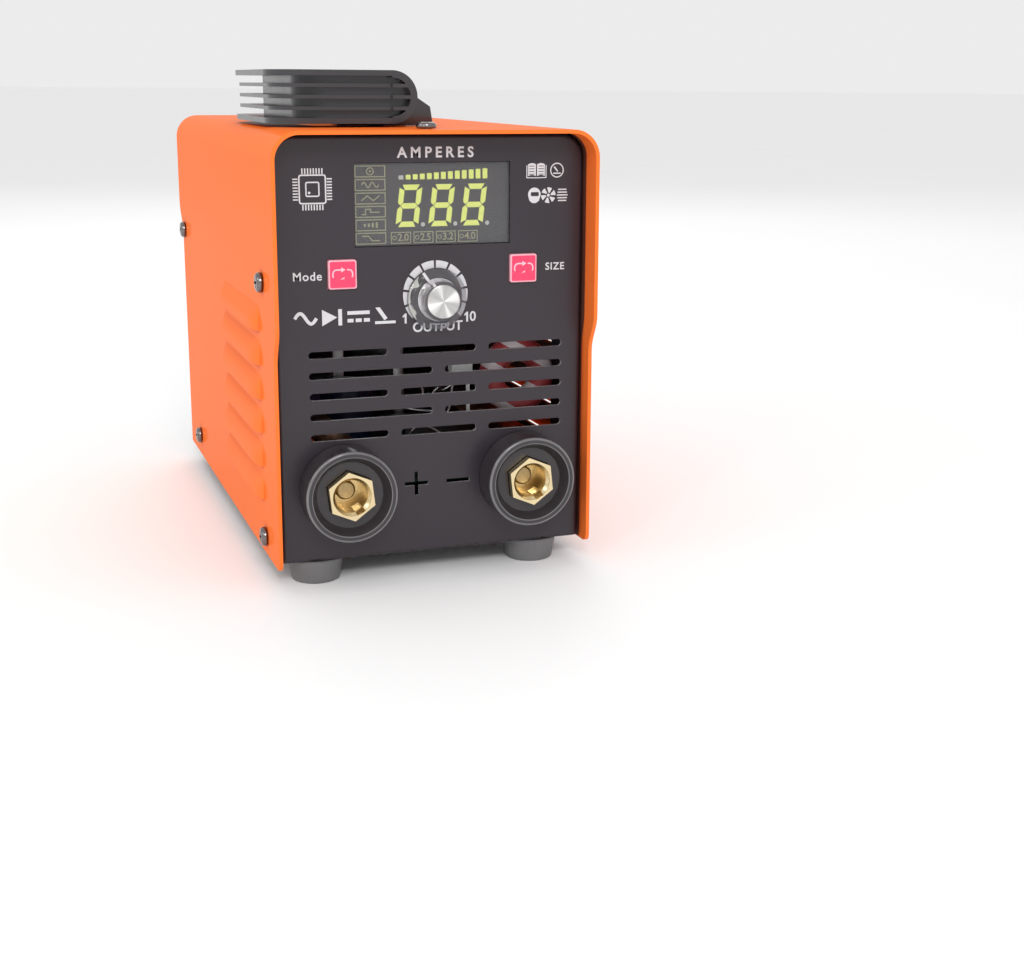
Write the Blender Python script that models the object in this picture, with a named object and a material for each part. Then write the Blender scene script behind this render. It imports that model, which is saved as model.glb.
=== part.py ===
"""A stick welding inverter: a folded-sheet case with its sockets, controls, fan and folding handle.

Lengths are in millimetres and angles in degrees. The layout uses case coordinates: x across,
y back from the front panel's face, z up from the underside of the chassis. make() turns them into
the world frame in metres, where the machine stands on z = 0, centred on the z axis.
"""

import math

import bmesh
import bpy
from mathutils import Matrix, Vector

MM = 0.001
GAP = 0.3  # clearance kept between neighbouring pieces
FAR = 400.0  # how far an open-ended cutter reaches

# Case
FOOT_HEIGHT = 10.0
PANEL_Y = -114.85  # world y of the front panel's face
COVER_HALF_TOP = 65.6  # the sides splay a little from the bend down to the foot
COVER_HALF_FOOT = 66.6
COVER_TOP = 170.6
COVER_BOTTOM = -0.9
COVER_SHEET = 1.5
COVER_BEND = 11.0
VISOR_FRONT = -12.2
VISOR_REAR = 243.9
SKIRT_FRONT = -6.9
SKIRT_REAR = 234.0
FRONT_STEP = (82.0, 97.0)  # heights between which the cover's front edge steps back
REAR_STEP = (111.0, 126.0)
SHEET = 1.2
CHASSIS_HALF_WIDTH = COVER_HALF_TOP - COVER_SHEET - GAP
CHASSIS_TOP = COVER_TOP - COVER_SHEET - GAP
CHASSIS_LENGTH = 229.4
CHASSIS_CORNER = 9.6
PANEL_FLANGE_DEPTH = 30.0
TOP_FLANGE_DEPTH = 12.0
SIDE_FLANGE_HEIGHT = 12.0
REAR_FACE = 231.0
REAR_FLANGE = 208.0  # where the rear panel's flanges begin
REAR_TAB = 221.0  # where the rear panel's tab on the base begins
TOP_REACH = (160.0, 180.0)  # heights between which the holes through the case's top are cut

# Side louvres
LOUVRES = 6
LOUVRE_ENDS = (19.0, 106.0)
LOUVRE_TOP = 102.0
LOUVRE_PITCH = 13.95
LOUVRE_HEIGHT = 9.6
LOUVRE_RISE = 2.8
LOUVRE_SHEET = 1.2
LOUVRE_MOUTH = 3.2
LOUVRE_SUNK = 0.2  # how deep a hood's rim lies in the cover's sheet
LOUVRE_INSET = 12.0  # from a hood's end to the end of its mouth

# Front panel
DISPLAY = (0.4, 142.1, 64.0, 32.4)  # centre x, centre z, width, height
BUTTON_X = (-36.9, 37.8)  # function, rod size
BUTTON_Z = 115.9
BUTTON_SIZE = 11.4
BUTTON_PROUD = 1.4
BUTTON_TRAVEL = 1.0
DIAL = (1.2, 105.0)
SLOT_ENDS = (-51.0, 55.3)
SLOT_TOP_ROW = 84.5
SLOT_PITCH = 8.32
SLOT_HEIGHT = 2.9
SLOT_GAP = 5.2
SOCKET_X = 37.9
SOCKET_Z = 29.6
SIGN_X = (-7.6, 10.2)  # plus, minus
SIGN_Z = 29.3
SIGN_LENGTH = 10.0
SIGN_BAR = 1.7
FOLD_SLOT = (10.0, 14.3)  # length and pitch of the slots along the front fold

# Sockets
SOCKET_RADIUS = 18.6
SOCKET_PROUD = 14.2
RIM_FLAT = (16.0, 17.8)  # the radii between which the rim's front is flat
RECESS_RADIUS = 13.5
RECESS_DEPTH = 4.7
SOCKET_SPIGOT = 11.7
HEX_FLATS = 17.6
HEX_TURN = 96.5  # the angle of one corner, so the hexagon leans a little from the upright
HEX_FRONT = -13.2
BORE_RADIUS = 6.6
BORE_MOUTH = 7.8
BORE_DEPTH = 17.0
BOSS_RADIUS = 3.8
BOSS_SETBACK = 10.5
STUD_RADIUS = 4.0
BUSBAR_Z = (20.0, 46.0)
BUSBAR_REAR = 66.0
BUSBAR_THICK = 1.8
BUSBAR_HALF = 8.0

# Knob and potentiometer
KNOB_SKIRT = 12.3
KNOB_GRIP = 7.6
KNOB_FRONT = -9.7
KNOB_CAP = 6.65
BUSH_RADIUS = 3.5
SHAFT_RADIUS = 2.7
POT_RADIUS = 8.0
BOARD_Y = (10.0, 11.6)

# Handle: a ribbed bail lying flat to the left, hinged about an axis that runs front to back
PIVOT = (-8.9, 182.3)
BAIL_LEFT = -57.5
BAIL_ENDS = (24.0, 118.0)
BAIL_THICK = 20.6
BAIL_CORNER = 16.5
RIB_DEPTH = 11.3  # how deep the grooves are across the grip
ARM_RIB_DEPTH = 4.5  # and along the arms
CORE_DEPTH = 9.0
CORE_CORNER = 14.0
OUTER_RIB = 2.2
INNER_RIB = 1.4
END_WALL = 2.8
INNER_SETBACK = 1.5  # the three inner ribs stand this far inside the outer two
PIN_RADIUS = 2.5
PIN_BITE = 7.2
BRACKET_DEPTH = 10.6
PEG_RADIUS = 3.0
TOP_SCREW = (-1.0, 4.5)  # x, and y of the front one

# Feet and fasteners
FOOT_X = (-48.3, 45.8)
FOOT_Y = (11.0, 214.0)
FOOT_TOP_RADIUS = 11.5
FOOT_BASE_RADIUS = 10.0
FOOT_STEM = 2.0
SIDE_SCREWS = ((12.8, 112.3), (19.6, 6.8), (198.5, 9.8), (226.0, 113.3))  # y and z on each side
SCREW_HEAD_RADIUS = 4.0
SCREW_HEAD_HEIGHT = 2.3
SCREW_SHANK = 1.5
SCREW_LENGTH = 8.0
HOLE_CLEARANCE = 0.4

# Rear
FAN_CENTRE = (0.0, 108.0)
FAN_SIZE = 80.0
FAN_DEPTH = 25.0
FAN_BORE = 38.0
FAN_HUB = 15.5
FAN_BLADES = 7
FAN_MOUNT = 71.5 / 2
GUARD_RINGS = (13.0, 24.5, 36.0)
SWITCH = (31.0, 33.0)
SWITCH_HOLE = (28.0, 21.4)
ROCKER_SWING = 20.0
GLAND = (-31.0, 33.0)
GLAND_FLATS = 24.0
GLAND_THREAD = 9.6
GLAND_BORE = 5.0
GLAND_DOME = 11.0

# Power stage
BOARD_Z = (11.0, 12.6)
MAIN_BOARD_Y = (66.0, 192.0)
MAIN_BOARD_HALF = 57.0
HEATSINK_Y = (106.0, 188.0)
HEATSINK_X = (12.0, 54.0)
HEATSINK_HEIGHT = 58.0
HEATSINK_FINS = 7
CHOKE = (40.0, 68.0)
CHOKE_RADII = (8.0, 19.0)
CHOKE_Y = (13.5, 25.5)
CAPACITOR_RADIUS = 12.5
CAPACITOR_HEIGHT = 42.0
CAPACITOR_Y = (80.0, 93.0)

CASE_SHIFT = Vector((0.0, PANEL_Y, FOOT_HEIGHT))
PLANES = {"x": (1, 2, 0), "y": (0, 2, 1), "z": (0, 1, 2)}  # the outline's two axes, then the third


def clear_scene():
    for obj in list(bpy.data.objects):
        bpy.data.objects.remove(obj)


def paint(name, colour, roughness, metallic=0.0, transmission=0.0):
    made = bpy.data.materials.new(name)
    made.use_nodes = True
    shader = made.node_tree.nodes["Principled BSDF"]
    shader.inputs["Base Color"].default_value = (*colour, 1.0)
    shader.inputs["Roughness"].default_value = roughness
    shader.inputs["Metallic"].default_value = metallic
    shader.inputs["Transmission Weight"].default_value = transmission
    return made


def in_plane(axis, a, b, along):
    point = [0.0, 0.0, 0.0]
    for place, value in zip(PLANES[axis], (a, b, along)):
        point[place] = value
    return point


def box(mesh, x, y, z):
    """Add a box given its two ends along each axis."""
    low = Vector((x[0], y[0], z[0]))
    high = Vector((x[1], y[1], z[1]))
    place = Matrix.LocRotScale((low + high) / 2, None, high - low)
    bmesh.ops.create_cube(mesh, size=1.0, matrix=place)


def prism(mesh, outline, axis, start, end):
    """Add the outline, a list of points across the axis, extruded from start to end."""
    near = [mesh.verts.new(in_plane(axis, a, b, start)) for a, b in outline]
    far = [mesh.verts.new(in_plane(axis, a, b, end)) for a, b in outline]
    mesh.faces.new(near)
    mesh.faces.new(far[::-1])
    for i in range(len(outline)):
        j = (i + 1) % len(outline)
        mesh.faces.new((near[j], near[i], far[i], far[j]))


def turned(mesh, profile, axis, centre, segments=20):
    """Add a closed profile of (radius, place along the axis) points turned about the axis."""
    rings = []
    for radius, along in profile:
        if radius == 0:
            rings.append([mesh.verts.new(in_plane(axis, *centre, along))] * segments)
            continue
        ring = []
        for i in range(segments):
            turn = 2 * math.pi * i / segments
            a = centre[0] + radius * math.cos(turn)
            b = centre[1] + radius * math.sin(turn)
            ring.append(mesh.verts.new(in_plane(axis, a, b, along)))
        rings.append(ring)
    for this, following in zip(rings, rings[1:] + rings[:1]):
        for i in range(segments):
            j = (i + 1) % segments
            corners = dict.fromkeys((this[i], this[j], following[j], following[i]))
            if len(corners) > 2:
                mesh.faces.new(list(corners))


def rod(mesh, radius, axis, centre, start, end, segments=16):
    turned(mesh, [(0, start), (radius, start), (radius, end), (0, end)], axis, centre, segments)


def arc(centre, radius, start, end, steps):
    """Points on a circle from one angle to the other, both included."""
    points = []
    for i in range(steps + 1):
        turn = math.radians(start + (end - start) * i / steps)
        points.append((centre[0] + radius * math.cos(turn), centre[1] + radius * math.sin(turn)))
    return points


def polygon(centre, flats, sides=6, turn=90.0):
    """A regular outline given its width across flats."""
    radius = flats / 2 / math.cos(math.pi / sides)
    return arc(centre, radius, turn, turn + 360, sides)[:-1]


def slot(ends, middle, height, steps=3):
    """A round-ended slot outline."""
    radius = height / 2
    right = arc((ends[1] - radius, middle), radius, -90, 90, steps)
    left = arc((ends[0] + radius, middle), radius, 90, 270, steps)
    return right + left


def arch(half_width, top, radius, bottom, half_foot=None, steps=6):
    """The outline of a case seen from the front: square at the bottom, round at the top corners."""
    right = arc((half_width - radius, top - radius), radius, 0, 90, steps)
    left = arc((radius - half_width, top - radius), radius, 90, 180, steps)
    half_foot = half_foot or half_width
    return [(-half_foot, bottom), (half_foot, bottom), *right, *left]


def cover_half(height):
    """Half the cover's outer width at a height."""
    share = (height - COVER_BOTTOM) / (COVER_TOP - COVER_BEND - COVER_BOTTOM)
    return COVER_HALF_FOOT + (COVER_HALF_TOP - COVER_HALF_FOOT) * share


def smooth_step(share):
    return (1 - math.cos(math.pi * share)) / 2


def make(name, mesh, look, axis_point=-CASE_SHIFT, smooth=True):
    """Turn a bmesh in case coordinates into an object whose origin is at axis_point."""
    bmesh.ops.recalc_face_normals(mesh, faces=mesh.faces)
    origin = Vector(axis_point)
    bmesh.ops.translate(mesh, vec=-origin, verts=mesh.verts)
    bmesh.ops.scale(mesh, vec=(MM, MM, MM), verts=mesh.verts)
    data = bpy.data.meshes.new(name)
    mesh.to_mesh(data)
    mesh.free()
    made = bpy.data.objects.new(name, data)
    bpy.context.scene.collection.objects.link(made)
    made.location = (origin + CASE_SHIFT) * MM
    if look:
        data.materials.append(look)
    if smooth:
        data.shade_smooth()
        data.set_sharp_from_angle(angle=math.radians(35))
    return made


def combine(target, mesh, operation):
    """Cut the bmesh from the target, or fuse it on, with a hidden helper that follows the target."""
    name = f"{target.name}.{operation.lower()}.{len(target.modifiers)}"
    helper = make(name, mesh, None, target.location / MM - CASE_SHIFT, smooth=False)
    helper.parent = target
    helper.location = (0.0, 0.0, 0.0)
    helper.hide_render = True
    helper.display_type = "WIRE"
    modifier = target.modifiers.new(operation.title(), "BOOLEAN")
    modifier.operation = operation
    modifier.solver = "EXACT"
    modifier.object = helper
    return target


def cut(target, mesh):
    return combine(target, mesh, "DIFFERENCE")


def fuse(target, mesh):
    return combine(target, mesh, "UNION")


# Case


def slot_rows():
    """(ends, middle) of each ventilation slot: rows of three and rows of two by turns."""
    length = SLOT_ENDS[1] - SLOT_ENDS[0]
    found = []
    for row in range(5):
        count = 2 if row % 2 else 3
        each = (length - SLOT_GAP * (count - 1)) / count
        for i in range(count):
            start = SLOT_ENDS[0] + i * (each + SLOT_GAP)
            found.append(((start, start + each), SLOT_TOP_ROW - row * SLOT_PITCH))
    return found


def rectangle(centre, width, height):
    x, z = centre
    return [
        (x - width / 2, z - height / 2),
        (x + width / 2, z - height / 2),
        (x + width / 2, z + height / 2),
        (x - width / 2, z + height / 2),
    ]


def plus(centre, length, bar):
    x, z = centre
    long, short = length / 2, bar / 2
    quarter = [(long, -short), (long, short), (short, short)]
    points = []
    for turn in range(4):
        for a, b in quarter:
            for _ in range(turn):
                a, b = -b, a
            points.append((x + a, z + b))
    return points


def front_chassis(look):
    """The front panel and the base, folded from one sheet, with flanges for the cover's screws."""
    mesh = bmesh.new()
    outline = arch(CHASSIS_HALF_WIDTH, CHASSIS_TOP, CHASSIS_CORNER, 0.0)
    prism(mesh, outline, "y", 0.0, CHASSIS_LENGTH)
    made = make("front_chassis", mesh, look)

    inside = bmesh.new()
    inner = arch(CHASSIS_HALF_WIDTH - SHEET, CHASSIS_TOP - SHEET, CHASSIS_CORNER - SHEET, SHEET)
    prism(inside, inner, "y", SHEET, FAR)
    cut(made, inside)

    spare = bmesh.new()
    box(spare, (-FAR, FAR), (PANEL_FLANGE_DEPTH, FAR), (SIDE_FLANGE_HEIGHT, FAR))
    cut(made, spare)
    top = bmesh.new()
    box(top, (-FAR, FAR), (TOP_FLANGE_DEPTH, FAR), (CHASSIS_TOP - 2 * CHASSIS_CORNER, FAR))
    cut(made, top)

    openings = bmesh.new()
    reach = ("y", -5.0, 5.0)
    prism(openings, rectangle(DISPLAY[:2], *DISPLAY[2:]), *reach)
    size = BUTTON_SIZE + 2 * GAP
    for x, side in zip(BUTTON_X, (-1, 1)):
        prism(openings, rectangle((x, BUTTON_Z), size, size), *reach)
        rod(openings, SOCKET_SPIGOT + GAP, "y", (side * SOCKET_X, SOCKET_Z), -5.0, 5.0, 28)
    rod(openings, BUSH_RADIUS + GAP, "y", DIAL, -5.0, 5.0)
    for ends, middle in slot_rows():
        prism(openings, slot(ends, middle, SLOT_HEIGHT), *reach)
    prism(openings, plus((SIGN_X[0], SIGN_Z), SIGN_LENGTH, SIGN_BAR), *reach)
    prism(openings, rectangle((SIGN_X[1], SIGN_Z), SIGN_LENGTH, SIGN_BAR), *reach)
    cut(made, openings)

    holes = bmesh.new()
    for place in SIDE_SCREWS[:3]:
        rod(holes, SCREW_SHANK + HOLE_CLEARANCE, "x", place, -FAR, FAR, 12)
    for y in FOOT_Y:
        for x in FOOT_X:
            rod(holes, FOOT_STEM + HOLE_CLEARANCE, "z", (x, y), -5.0, 5.0, 12)
    rod(holes, SCREW_SHANK + HOLE_CLEARANCE, "z", TOP_SCREW, *TOP_REACH, 12)
    length, pitch = FOLD_SLOT
    for i in range(9):
        start = (i - 4) * pitch - length / 2
        box(holes, (start, start + length), (-1.0, 0.7), (-1.0, 0.7))
    return cut(made, holes)


def rear_panel(look):
    """The rear panel, with side flanges for the upper screws and a tab that lies on the base."""
    mesh = bmesh.new()
    outline = arch(CHASSIS_HALF_WIDTH, CHASSIS_TOP, CHASSIS_CORNER, 0.0)
    prism(mesh, outline, "y", REAR_FLANGE, REAR_FACE)
    made = make("rear_panel", mesh, look)

    inside = bmesh.new()
    inner = arch(CHASSIS_HALF_WIDTH - SHEET, CHASSIS_TOP - SHEET, CHASSIS_CORNER - SHEET, 2 * SHEET + GAP)
    prism(inside, inner, "y", -FAR, REAR_FACE - SHEET)
    cut(made, inside)
    under = bmesh.new()
    back, tab_top = REAR_FACE - SHEET, 2 * SHEET + 2 * GAP
    outline = [(-FAR, -FAR), (back, -FAR), (back, SHEET + GAP), (REAR_TAB, SHEET + GAP)]
    prism(under, [*outline, (REAR_TAB, tab_top), (-FAR, tab_top)], "x", -FAR, FAR)
    cut(made, under)
    corners = bmesh.new()
    for side in (-1, 1):
        ends = sorted((side * (CHASSIS_HALF_WIDTH - SHEET - GAP), side * FAR))
        box(corners, ends, (-FAR, back), (-5.0, SIDE_FLANGE_HEIGHT + GAP))
    cut(made, corners)

    holes = bmesh.new()
    reach = ("y", REAR_FACE - 5.0, REAR_FACE + 5.0)
    turned(
        holes,
        [(0, reach[1]), (FAN_BORE, reach[1]), (FAN_BORE, reach[2]), (0, reach[2])],
        "y",
        FAN_CENTRE,
        36,
    )
    prism(holes, rectangle(SWITCH, *SWITCH_HOLE), *reach)
    rod(holes, GLAND_THREAD + GAP, "y", GLAND, reach[1], reach[2], 20)
    rod(holes, SCREW_SHANK + HOLE_CLEARANCE, "x", SIDE_SCREWS[3], -FAR, FAR, 12)
    rod(holes, SCREW_SHANK + HOLE_CLEARANCE, "z", top_screws()[1], *TOP_REACH, 12)
    return cut(made, holes)


def edge_cutter(mesh, edge, skirt, heights, outward):
    """Cut one end of the cover back from edge to skirt below the first height, in a smooth step."""
    low, high = heights
    steps = 6
    curve = []
    for i in range(steps + 1):
        share = i / steps
        y = skirt + (edge - skirt) * smooth_step(share)
        curve.append((y, low + (high - low) * share))
    away = edge + outward * 20
    outline = [(away, -20.0), (skirt, -20.0), *curve, (edge + outward, high), (away, high)]
    prism(mesh, outline, "x", -FAR, FAR)


def louvre_hood(mesh, side, top):
    """One pressed hood: it rises smoothly from the sheet and stands open along its lower edge."""
    across, down = 6, 2
    start, end = LOUVRE_ENDS
    layers = []
    for depth in (0.0, LOUVRE_SHEET):
        grid = []
        for j in range(down + 1):
            row = []
            for i in range(across + 1):
                u = 2 * i / across - 1
                end_ease = math.sqrt(max(0.0, 1 - abs(u) ** 5))
                rise = LOUVRE_RISE * end_ease * math.sin(j / down * math.pi / 2)
                height = top - LOUVRE_HEIGHT * j / down * (0.55 + 0.45 * end_ease)
                y = (start + end) / 2 + u * (end - start) / 2
                face = cover_half(height) - LOUVRE_SUNK
                row.append(mesh.verts.new((side * (face + rise - depth), y, height)))
            grid.append(row)
        layers.append(grid)
    outer, inner = layers
    for j in range(down):
        for i in range(across):
            for grid in (outer, inner):
                corners = (grid[j][i], grid[j][i + 1], grid[j + 1][i + 1], grid[j + 1][i])
                mesh.faces.new(corners)
    rim = [(0, i) for i in range(across)] + [(j, across) for j in range(down)]
    rim += [(down, i) for i in range(across, 0, -1)] + [(j, 0) for j in range(down, 0, -1)]
    for (j, i), (jj, ii) in zip(rim, rim[1:] + rim[:1]):
        mesh.faces.new((outer[j][i], outer[jj][ii], inner[jj][ii], inner[j][i]))


def cover(look):
    """The outer cover: one sheet bent over the top, with hooded louvres low on both sides."""
    mesh = bmesh.new()
    outer = arch(COVER_HALF_TOP, COVER_TOP, COVER_BEND, COVER_BOTTOM, COVER_HALF_FOOT)
    inner = arch(
        COVER_HALF_TOP - COVER_SHEET,
        COVER_TOP - COVER_SHEET,
        COVER_BEND - COVER_SHEET,
        COVER_BOTTOM,
        COVER_HALF_FOOT - COVER_SHEET,
    )
    outline = outer[1:] + outer[:1] + inner[:1] + inner[:1:-1] + inner[1:2]
    prism(mesh, outline, "y", VISOR_FRONT, VISOR_REAR)
    made = make("cover", mesh, look)

    ends = bmesh.new()
    edge_cutter(ends, VISOR_FRONT, SKIRT_FRONT, FRONT_STEP, -1)
    edge_cutter(ends, VISOR_REAR, SKIRT_REAR, REAR_STEP, 1)
    cut(made, ends)

    hoods = bmesh.new()
    mouths = bmesh.new()
    for side in (-1, 1):
        for i in range(LOUVRES):
            top = LOUVRE_TOP - i * LOUVRE_PITCH
            louvre_hood(hoods, side, top)
            middle = top - LOUVRE_HEIGHT + LOUVRE_MOUTH / 2 + 0.2
            ends_y = (LOUVRE_ENDS[0] + LOUVRE_INSET, LOUVRE_ENDS[1] - LOUVRE_INSET)
            face = cover_half(middle)
            reach = sorted((side * (face - COVER_SHEET - 2.0), side * (face + 0.5)))
            prism(mouths, slot(ends_y, middle, LOUVRE_MOUTH, 2), "x", *reach)
    for place in SIDE_SCREWS:
        rod(mouths, SCREW_SHANK + HOLE_CLEARANCE, "x", place, -FAR, FAR, 12)
    for place in top_screws():
        rod(mouths, SCREW_SHANK + HOLE_CLEARANCE, "z", place, *TOP_REACH, 12)
    for near, far in bracket_spans():
        rod(mouths, PEG_RADIUS + GAP, "z", (PIVOT[0], (near + far) / 2), *TOP_REACH, 12)
    fuse(made, hoods)
    return cut(made, mouths)


def screw(name, look, axis, centre, seat, direction):
    """A pan-head screw whose head stands on seat and whose shank runs against direction."""
    mesh = bmesh.new()
    near = seat + direction * GAP
    crown = near + direction * SCREW_HEAD_HEIGHT
    profile = [
        (0, near - direction * SCREW_LENGTH),
        (SCREW_SHANK, near - direction * SCREW_LENGTH),
        (SCREW_SHANK, near),
        (SCREW_HEAD_RADIUS, near),
        (SCREW_HEAD_RADIUS, near + direction * SCREW_HEAD_HEIGHT * 0.55),
        (SCREW_HEAD_RADIUS * 0.72, crown),
        (0, crown),
    ]
    turned(mesh, profile, axis, centre, 8)
    return make(name, mesh, look)


def feet(look):
    """Four rubber feet, each held by its own moulded stem."""
    for i, (x, y) in enumerate((x, y) for y in FOOT_Y for x in FOOT_X):
        mesh = bmesh.new()
        profile = [
            (0, -FOOT_HEIGHT),
            (FOOT_BASE_RADIUS - 1, -FOOT_HEIGHT),
            (FOOT_BASE_RADIUS, 1 - FOOT_HEIGHT),
            (FOOT_TOP_RADIUS, -1.2),
            (FOOT_TOP_RADIUS - 0.8, -GAP),
            (FOOT_STEM, -GAP),
            (FOOT_STEM, SHEET + GAP),
            (FOOT_STEM + 1.2, SHEET + GAP),
            (FOOT_STEM - 0.5, SHEET + 4),
            (0, SHEET + 4),
        ]
        turned(mesh, profile, "z", (x, y), 14)
        make(f"foot_{i + 1}", mesh, look)


# Handle


def bail_path(left, inset, radius, end_x):
    """A U in plan that starts at left, its arms inset from the bail's ends and running to end_x."""
    front, rear = BAIL_ENDS[0] + inset, BAIL_ENDS[1] - inset
    first = arc((left + radius, front + radius), radius, 270, 180, 5)
    second = arc((left + radius, rear - radius), radius, 180, 90, 5)
    return [(end_x, front), *first, *second, (end_x, rear)]


def bail_outline(inset, end_x):
    """The U of the bail in plan, inset evenly from its outer edge."""
    return bail_path(BAIL_LEFT + inset, inset, max(BAIL_CORNER - inset, 3.0), end_x)


def bail_band(outer, inner, end_x):
    """The closed outline between two insets of the bail."""
    return bail_outline(outer, end_x) + bail_outline(inner, end_x)[::-1]


def rib_gaps():
    """(bottom, top) of the grooves between the bail's five ribs."""
    low = PIVOT[1] - BAIL_THICK / 2
    height = (BAIL_THICK - 2 * OUTER_RIB - 3 * INNER_RIB) / 4
    found = []
    start = low + OUTER_RIB
    for _ in range(4):
        found.append((start, start + height))
        start += height + INNER_RIB
    return found


def handle_bail(look):
    """The ribbed U that lies flat and lifts about the pins in its two round ends."""
    radius = BAIL_THICK / 2
    low, high = PIVOT[1] - radius, PIVOT[1] + radius
    mesh = bmesh.new()
    prism(mesh, bail_band(0.0, RIB_DEPTH + CORE_DEPTH, PIVOT[0] + radius), "z", low, high)
    made = make("handle_bail", mesh, look, (PIVOT[0], BAIL_ENDS[0], PIVOT[1]))

    ends = bmesh.new()
    turn = arc(PIVOT, radius, 90, -90, 12)
    outline = [(PIVOT[0], high + 9), *turn, (PIVOT[0], low - 9)]
    outline += [(PIVOT[0] + 25, low - 9), (PIVOT[0] + 25, high + 9)]
    prism(ends, outline, "y", 0.0, 150.0)
    cut(made, ends)

    setback = bmesh.new()
    reach = (low + OUTER_RIB, high - OUTER_RIB)
    prism(setback, bail_band(-5.0, INNER_SETBACK, PIVOT[0]), "z", *reach)
    cut(made, setback)

    grooves = bmesh.new()
    for bottom, top in rib_gaps():
        furthest = max(abs(bottom - PIVOT[1]), abs(top - PIVOT[1]))
        end_x = PIVOT[0] + math.sqrt(max((radius - END_WALL) ** 2 - furthest**2, 0.0))
        floor = bail_path(BAIL_LEFT + RIB_DEPTH, ARM_RIB_DEPTH, CORE_CORNER, end_x)
        prism(grooves, bail_outline(-5.0, end_x) + floor[::-1], "z", bottom, top)
    cut(made, grooves)

    holes = bmesh.new()
    front = BAIL_ENDS[0] + RIB_DEPTH + CORE_DEPTH
    rear = BAIL_ENDS[1] - RIB_DEPTH - CORE_DEPTH
    rod(holes, PIN_RADIUS + GAP, "y", PIVOT, front - PIN_BITE, front + 5, 14)
    rod(holes, PIN_RADIUS + GAP, "y", PIVOT, rear - 5, rear + PIN_BITE, 14)
    return cut(made, holes)


def bracket_spans():
    """(near, far) of the two hinge brackets, each starting at the face that meets its arm."""
    depth = RIB_DEPTH + CORE_DEPTH + 0.4
    front, rear = BAIL_ENDS[0] + depth, BAIL_ENDS[1] - depth
    return (front, front + BRACKET_DEPTH), (rear, rear - BRACKET_DEPTH)


def top_screws():
    """Where the two screws through the cover's top go: the front and rear panels' flanges."""
    x, y = TOP_SCREW
    return (x, y), (x, REAR_FACE - y)


def handle_bracket(name, look, span):
    """A lug that stands inside one arm's end, held by its own peg, headed over under the cover."""
    x, z = PIVOT
    seat = COVER_TOP + GAP
    outline = [(x - 18, seat), (x + 23, seat), (x + 21.8, z - 4.0), (x + 16.0, z - 0.2)]
    outline += arc((x, z), 9.4, 45, 150, 6)
    outline += [(x - 16.5, z - 4.0)]
    mesh = bmesh.new()
    prism(mesh, outline, "y", *sorted(span))
    made = make(name, mesh, look)
    inside = COVER_TOP - COVER_SHEET - GAP
    profile = [
        (0, seat + 1),
        (PEG_RADIUS, seat + 1),
        (PEG_RADIUS, inside),
        (PEG_RADIUS + 2, inside),
        (PEG_RADIUS + 1, inside - 1.6),
        (0, inside - 1.6),
    ]
    peg = bmesh.new()
    turned(peg, profile, "z", (x, sum(span) / 2), 14)
    fuse(made, peg)
    hole = bmesh.new()
    rod(hole, PIN_RADIUS + GAP, "y", PIVOT, -50.0, FAR, 14)
    return cut(made, hole)


def handle_mounts(plastic, steel):
    for side, (near, far) in zip(("front", "rear"), bracket_spans()):
        handle_bracket(f"handle_bracket_{side}", plastic, (near, far))
        inward = math.copysign(1.0, far - near)
        mesh = bmesh.new()
        start = near - inward * (PIN_BITE + 0.1)
        rod(mesh, PIN_RADIUS, "y", PIVOT, start, far + inward, 14)
        make(f"handle_pin_{side}", mesh, steel)


# Front controls


def plate(name, look, centre, width, height, y):
    mesh = bmesh.new()
    prism(mesh, rectangle(centre, width, height), "y", *y)
    return make(name, mesh, look)


def push_button(name, look, x):
    """A square key with a collar that stops behind the panel and a stem that meets the switch."""
    centre = (x, BUTTON_Z)
    collar = (SHEET + GAP, SHEET + GAP + 1.2)
    mesh = bmesh.new()
    prism(mesh, rectangle(centre, BUTTON_SIZE, BUTTON_SIZE), "y", -BUTTON_PROUD, collar[0] + 0.2)
    made = make(name, mesh, look, (x, 0.0, BUTTON_Z))
    rear = bmesh.new()
    prism(rear, rectangle(centre, BUTTON_SIZE + 2.4, BUTTON_SIZE + 2.4), "y", *collar)
    fuse(made, rear)
    stem = bmesh.new()
    rod(stem, 2.0, "y", centre, collar[1] - 0.5, 4.7, 12)
    return fuse(made, stem)


def tact_switch(name, look, x):
    mesh = bmesh.new()
    body_front = BOARD_Y[0] - 3.4
    box(mesh, (x - 3, x + 3), (body_front, BOARD_Y[0] - GAP), (BUTTON_Z - 3, BUTTON_Z + 3))
    made = make(name, mesh, look)
    plunger = bmesh.new()
    rod(plunger, 1.7, "y", (x, BUTTON_Z), 4.7 + BUTTON_TRAVEL + GAP, body_front + 0.4, 12)
    return fuse(made, plunger)


def control_board(look):
    mesh = bmesh.new()
    box(mesh, (-56.0, 56.0), BOARD_Y, (97.0, 164.0))
    return make("control_board", mesh, look)


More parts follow.
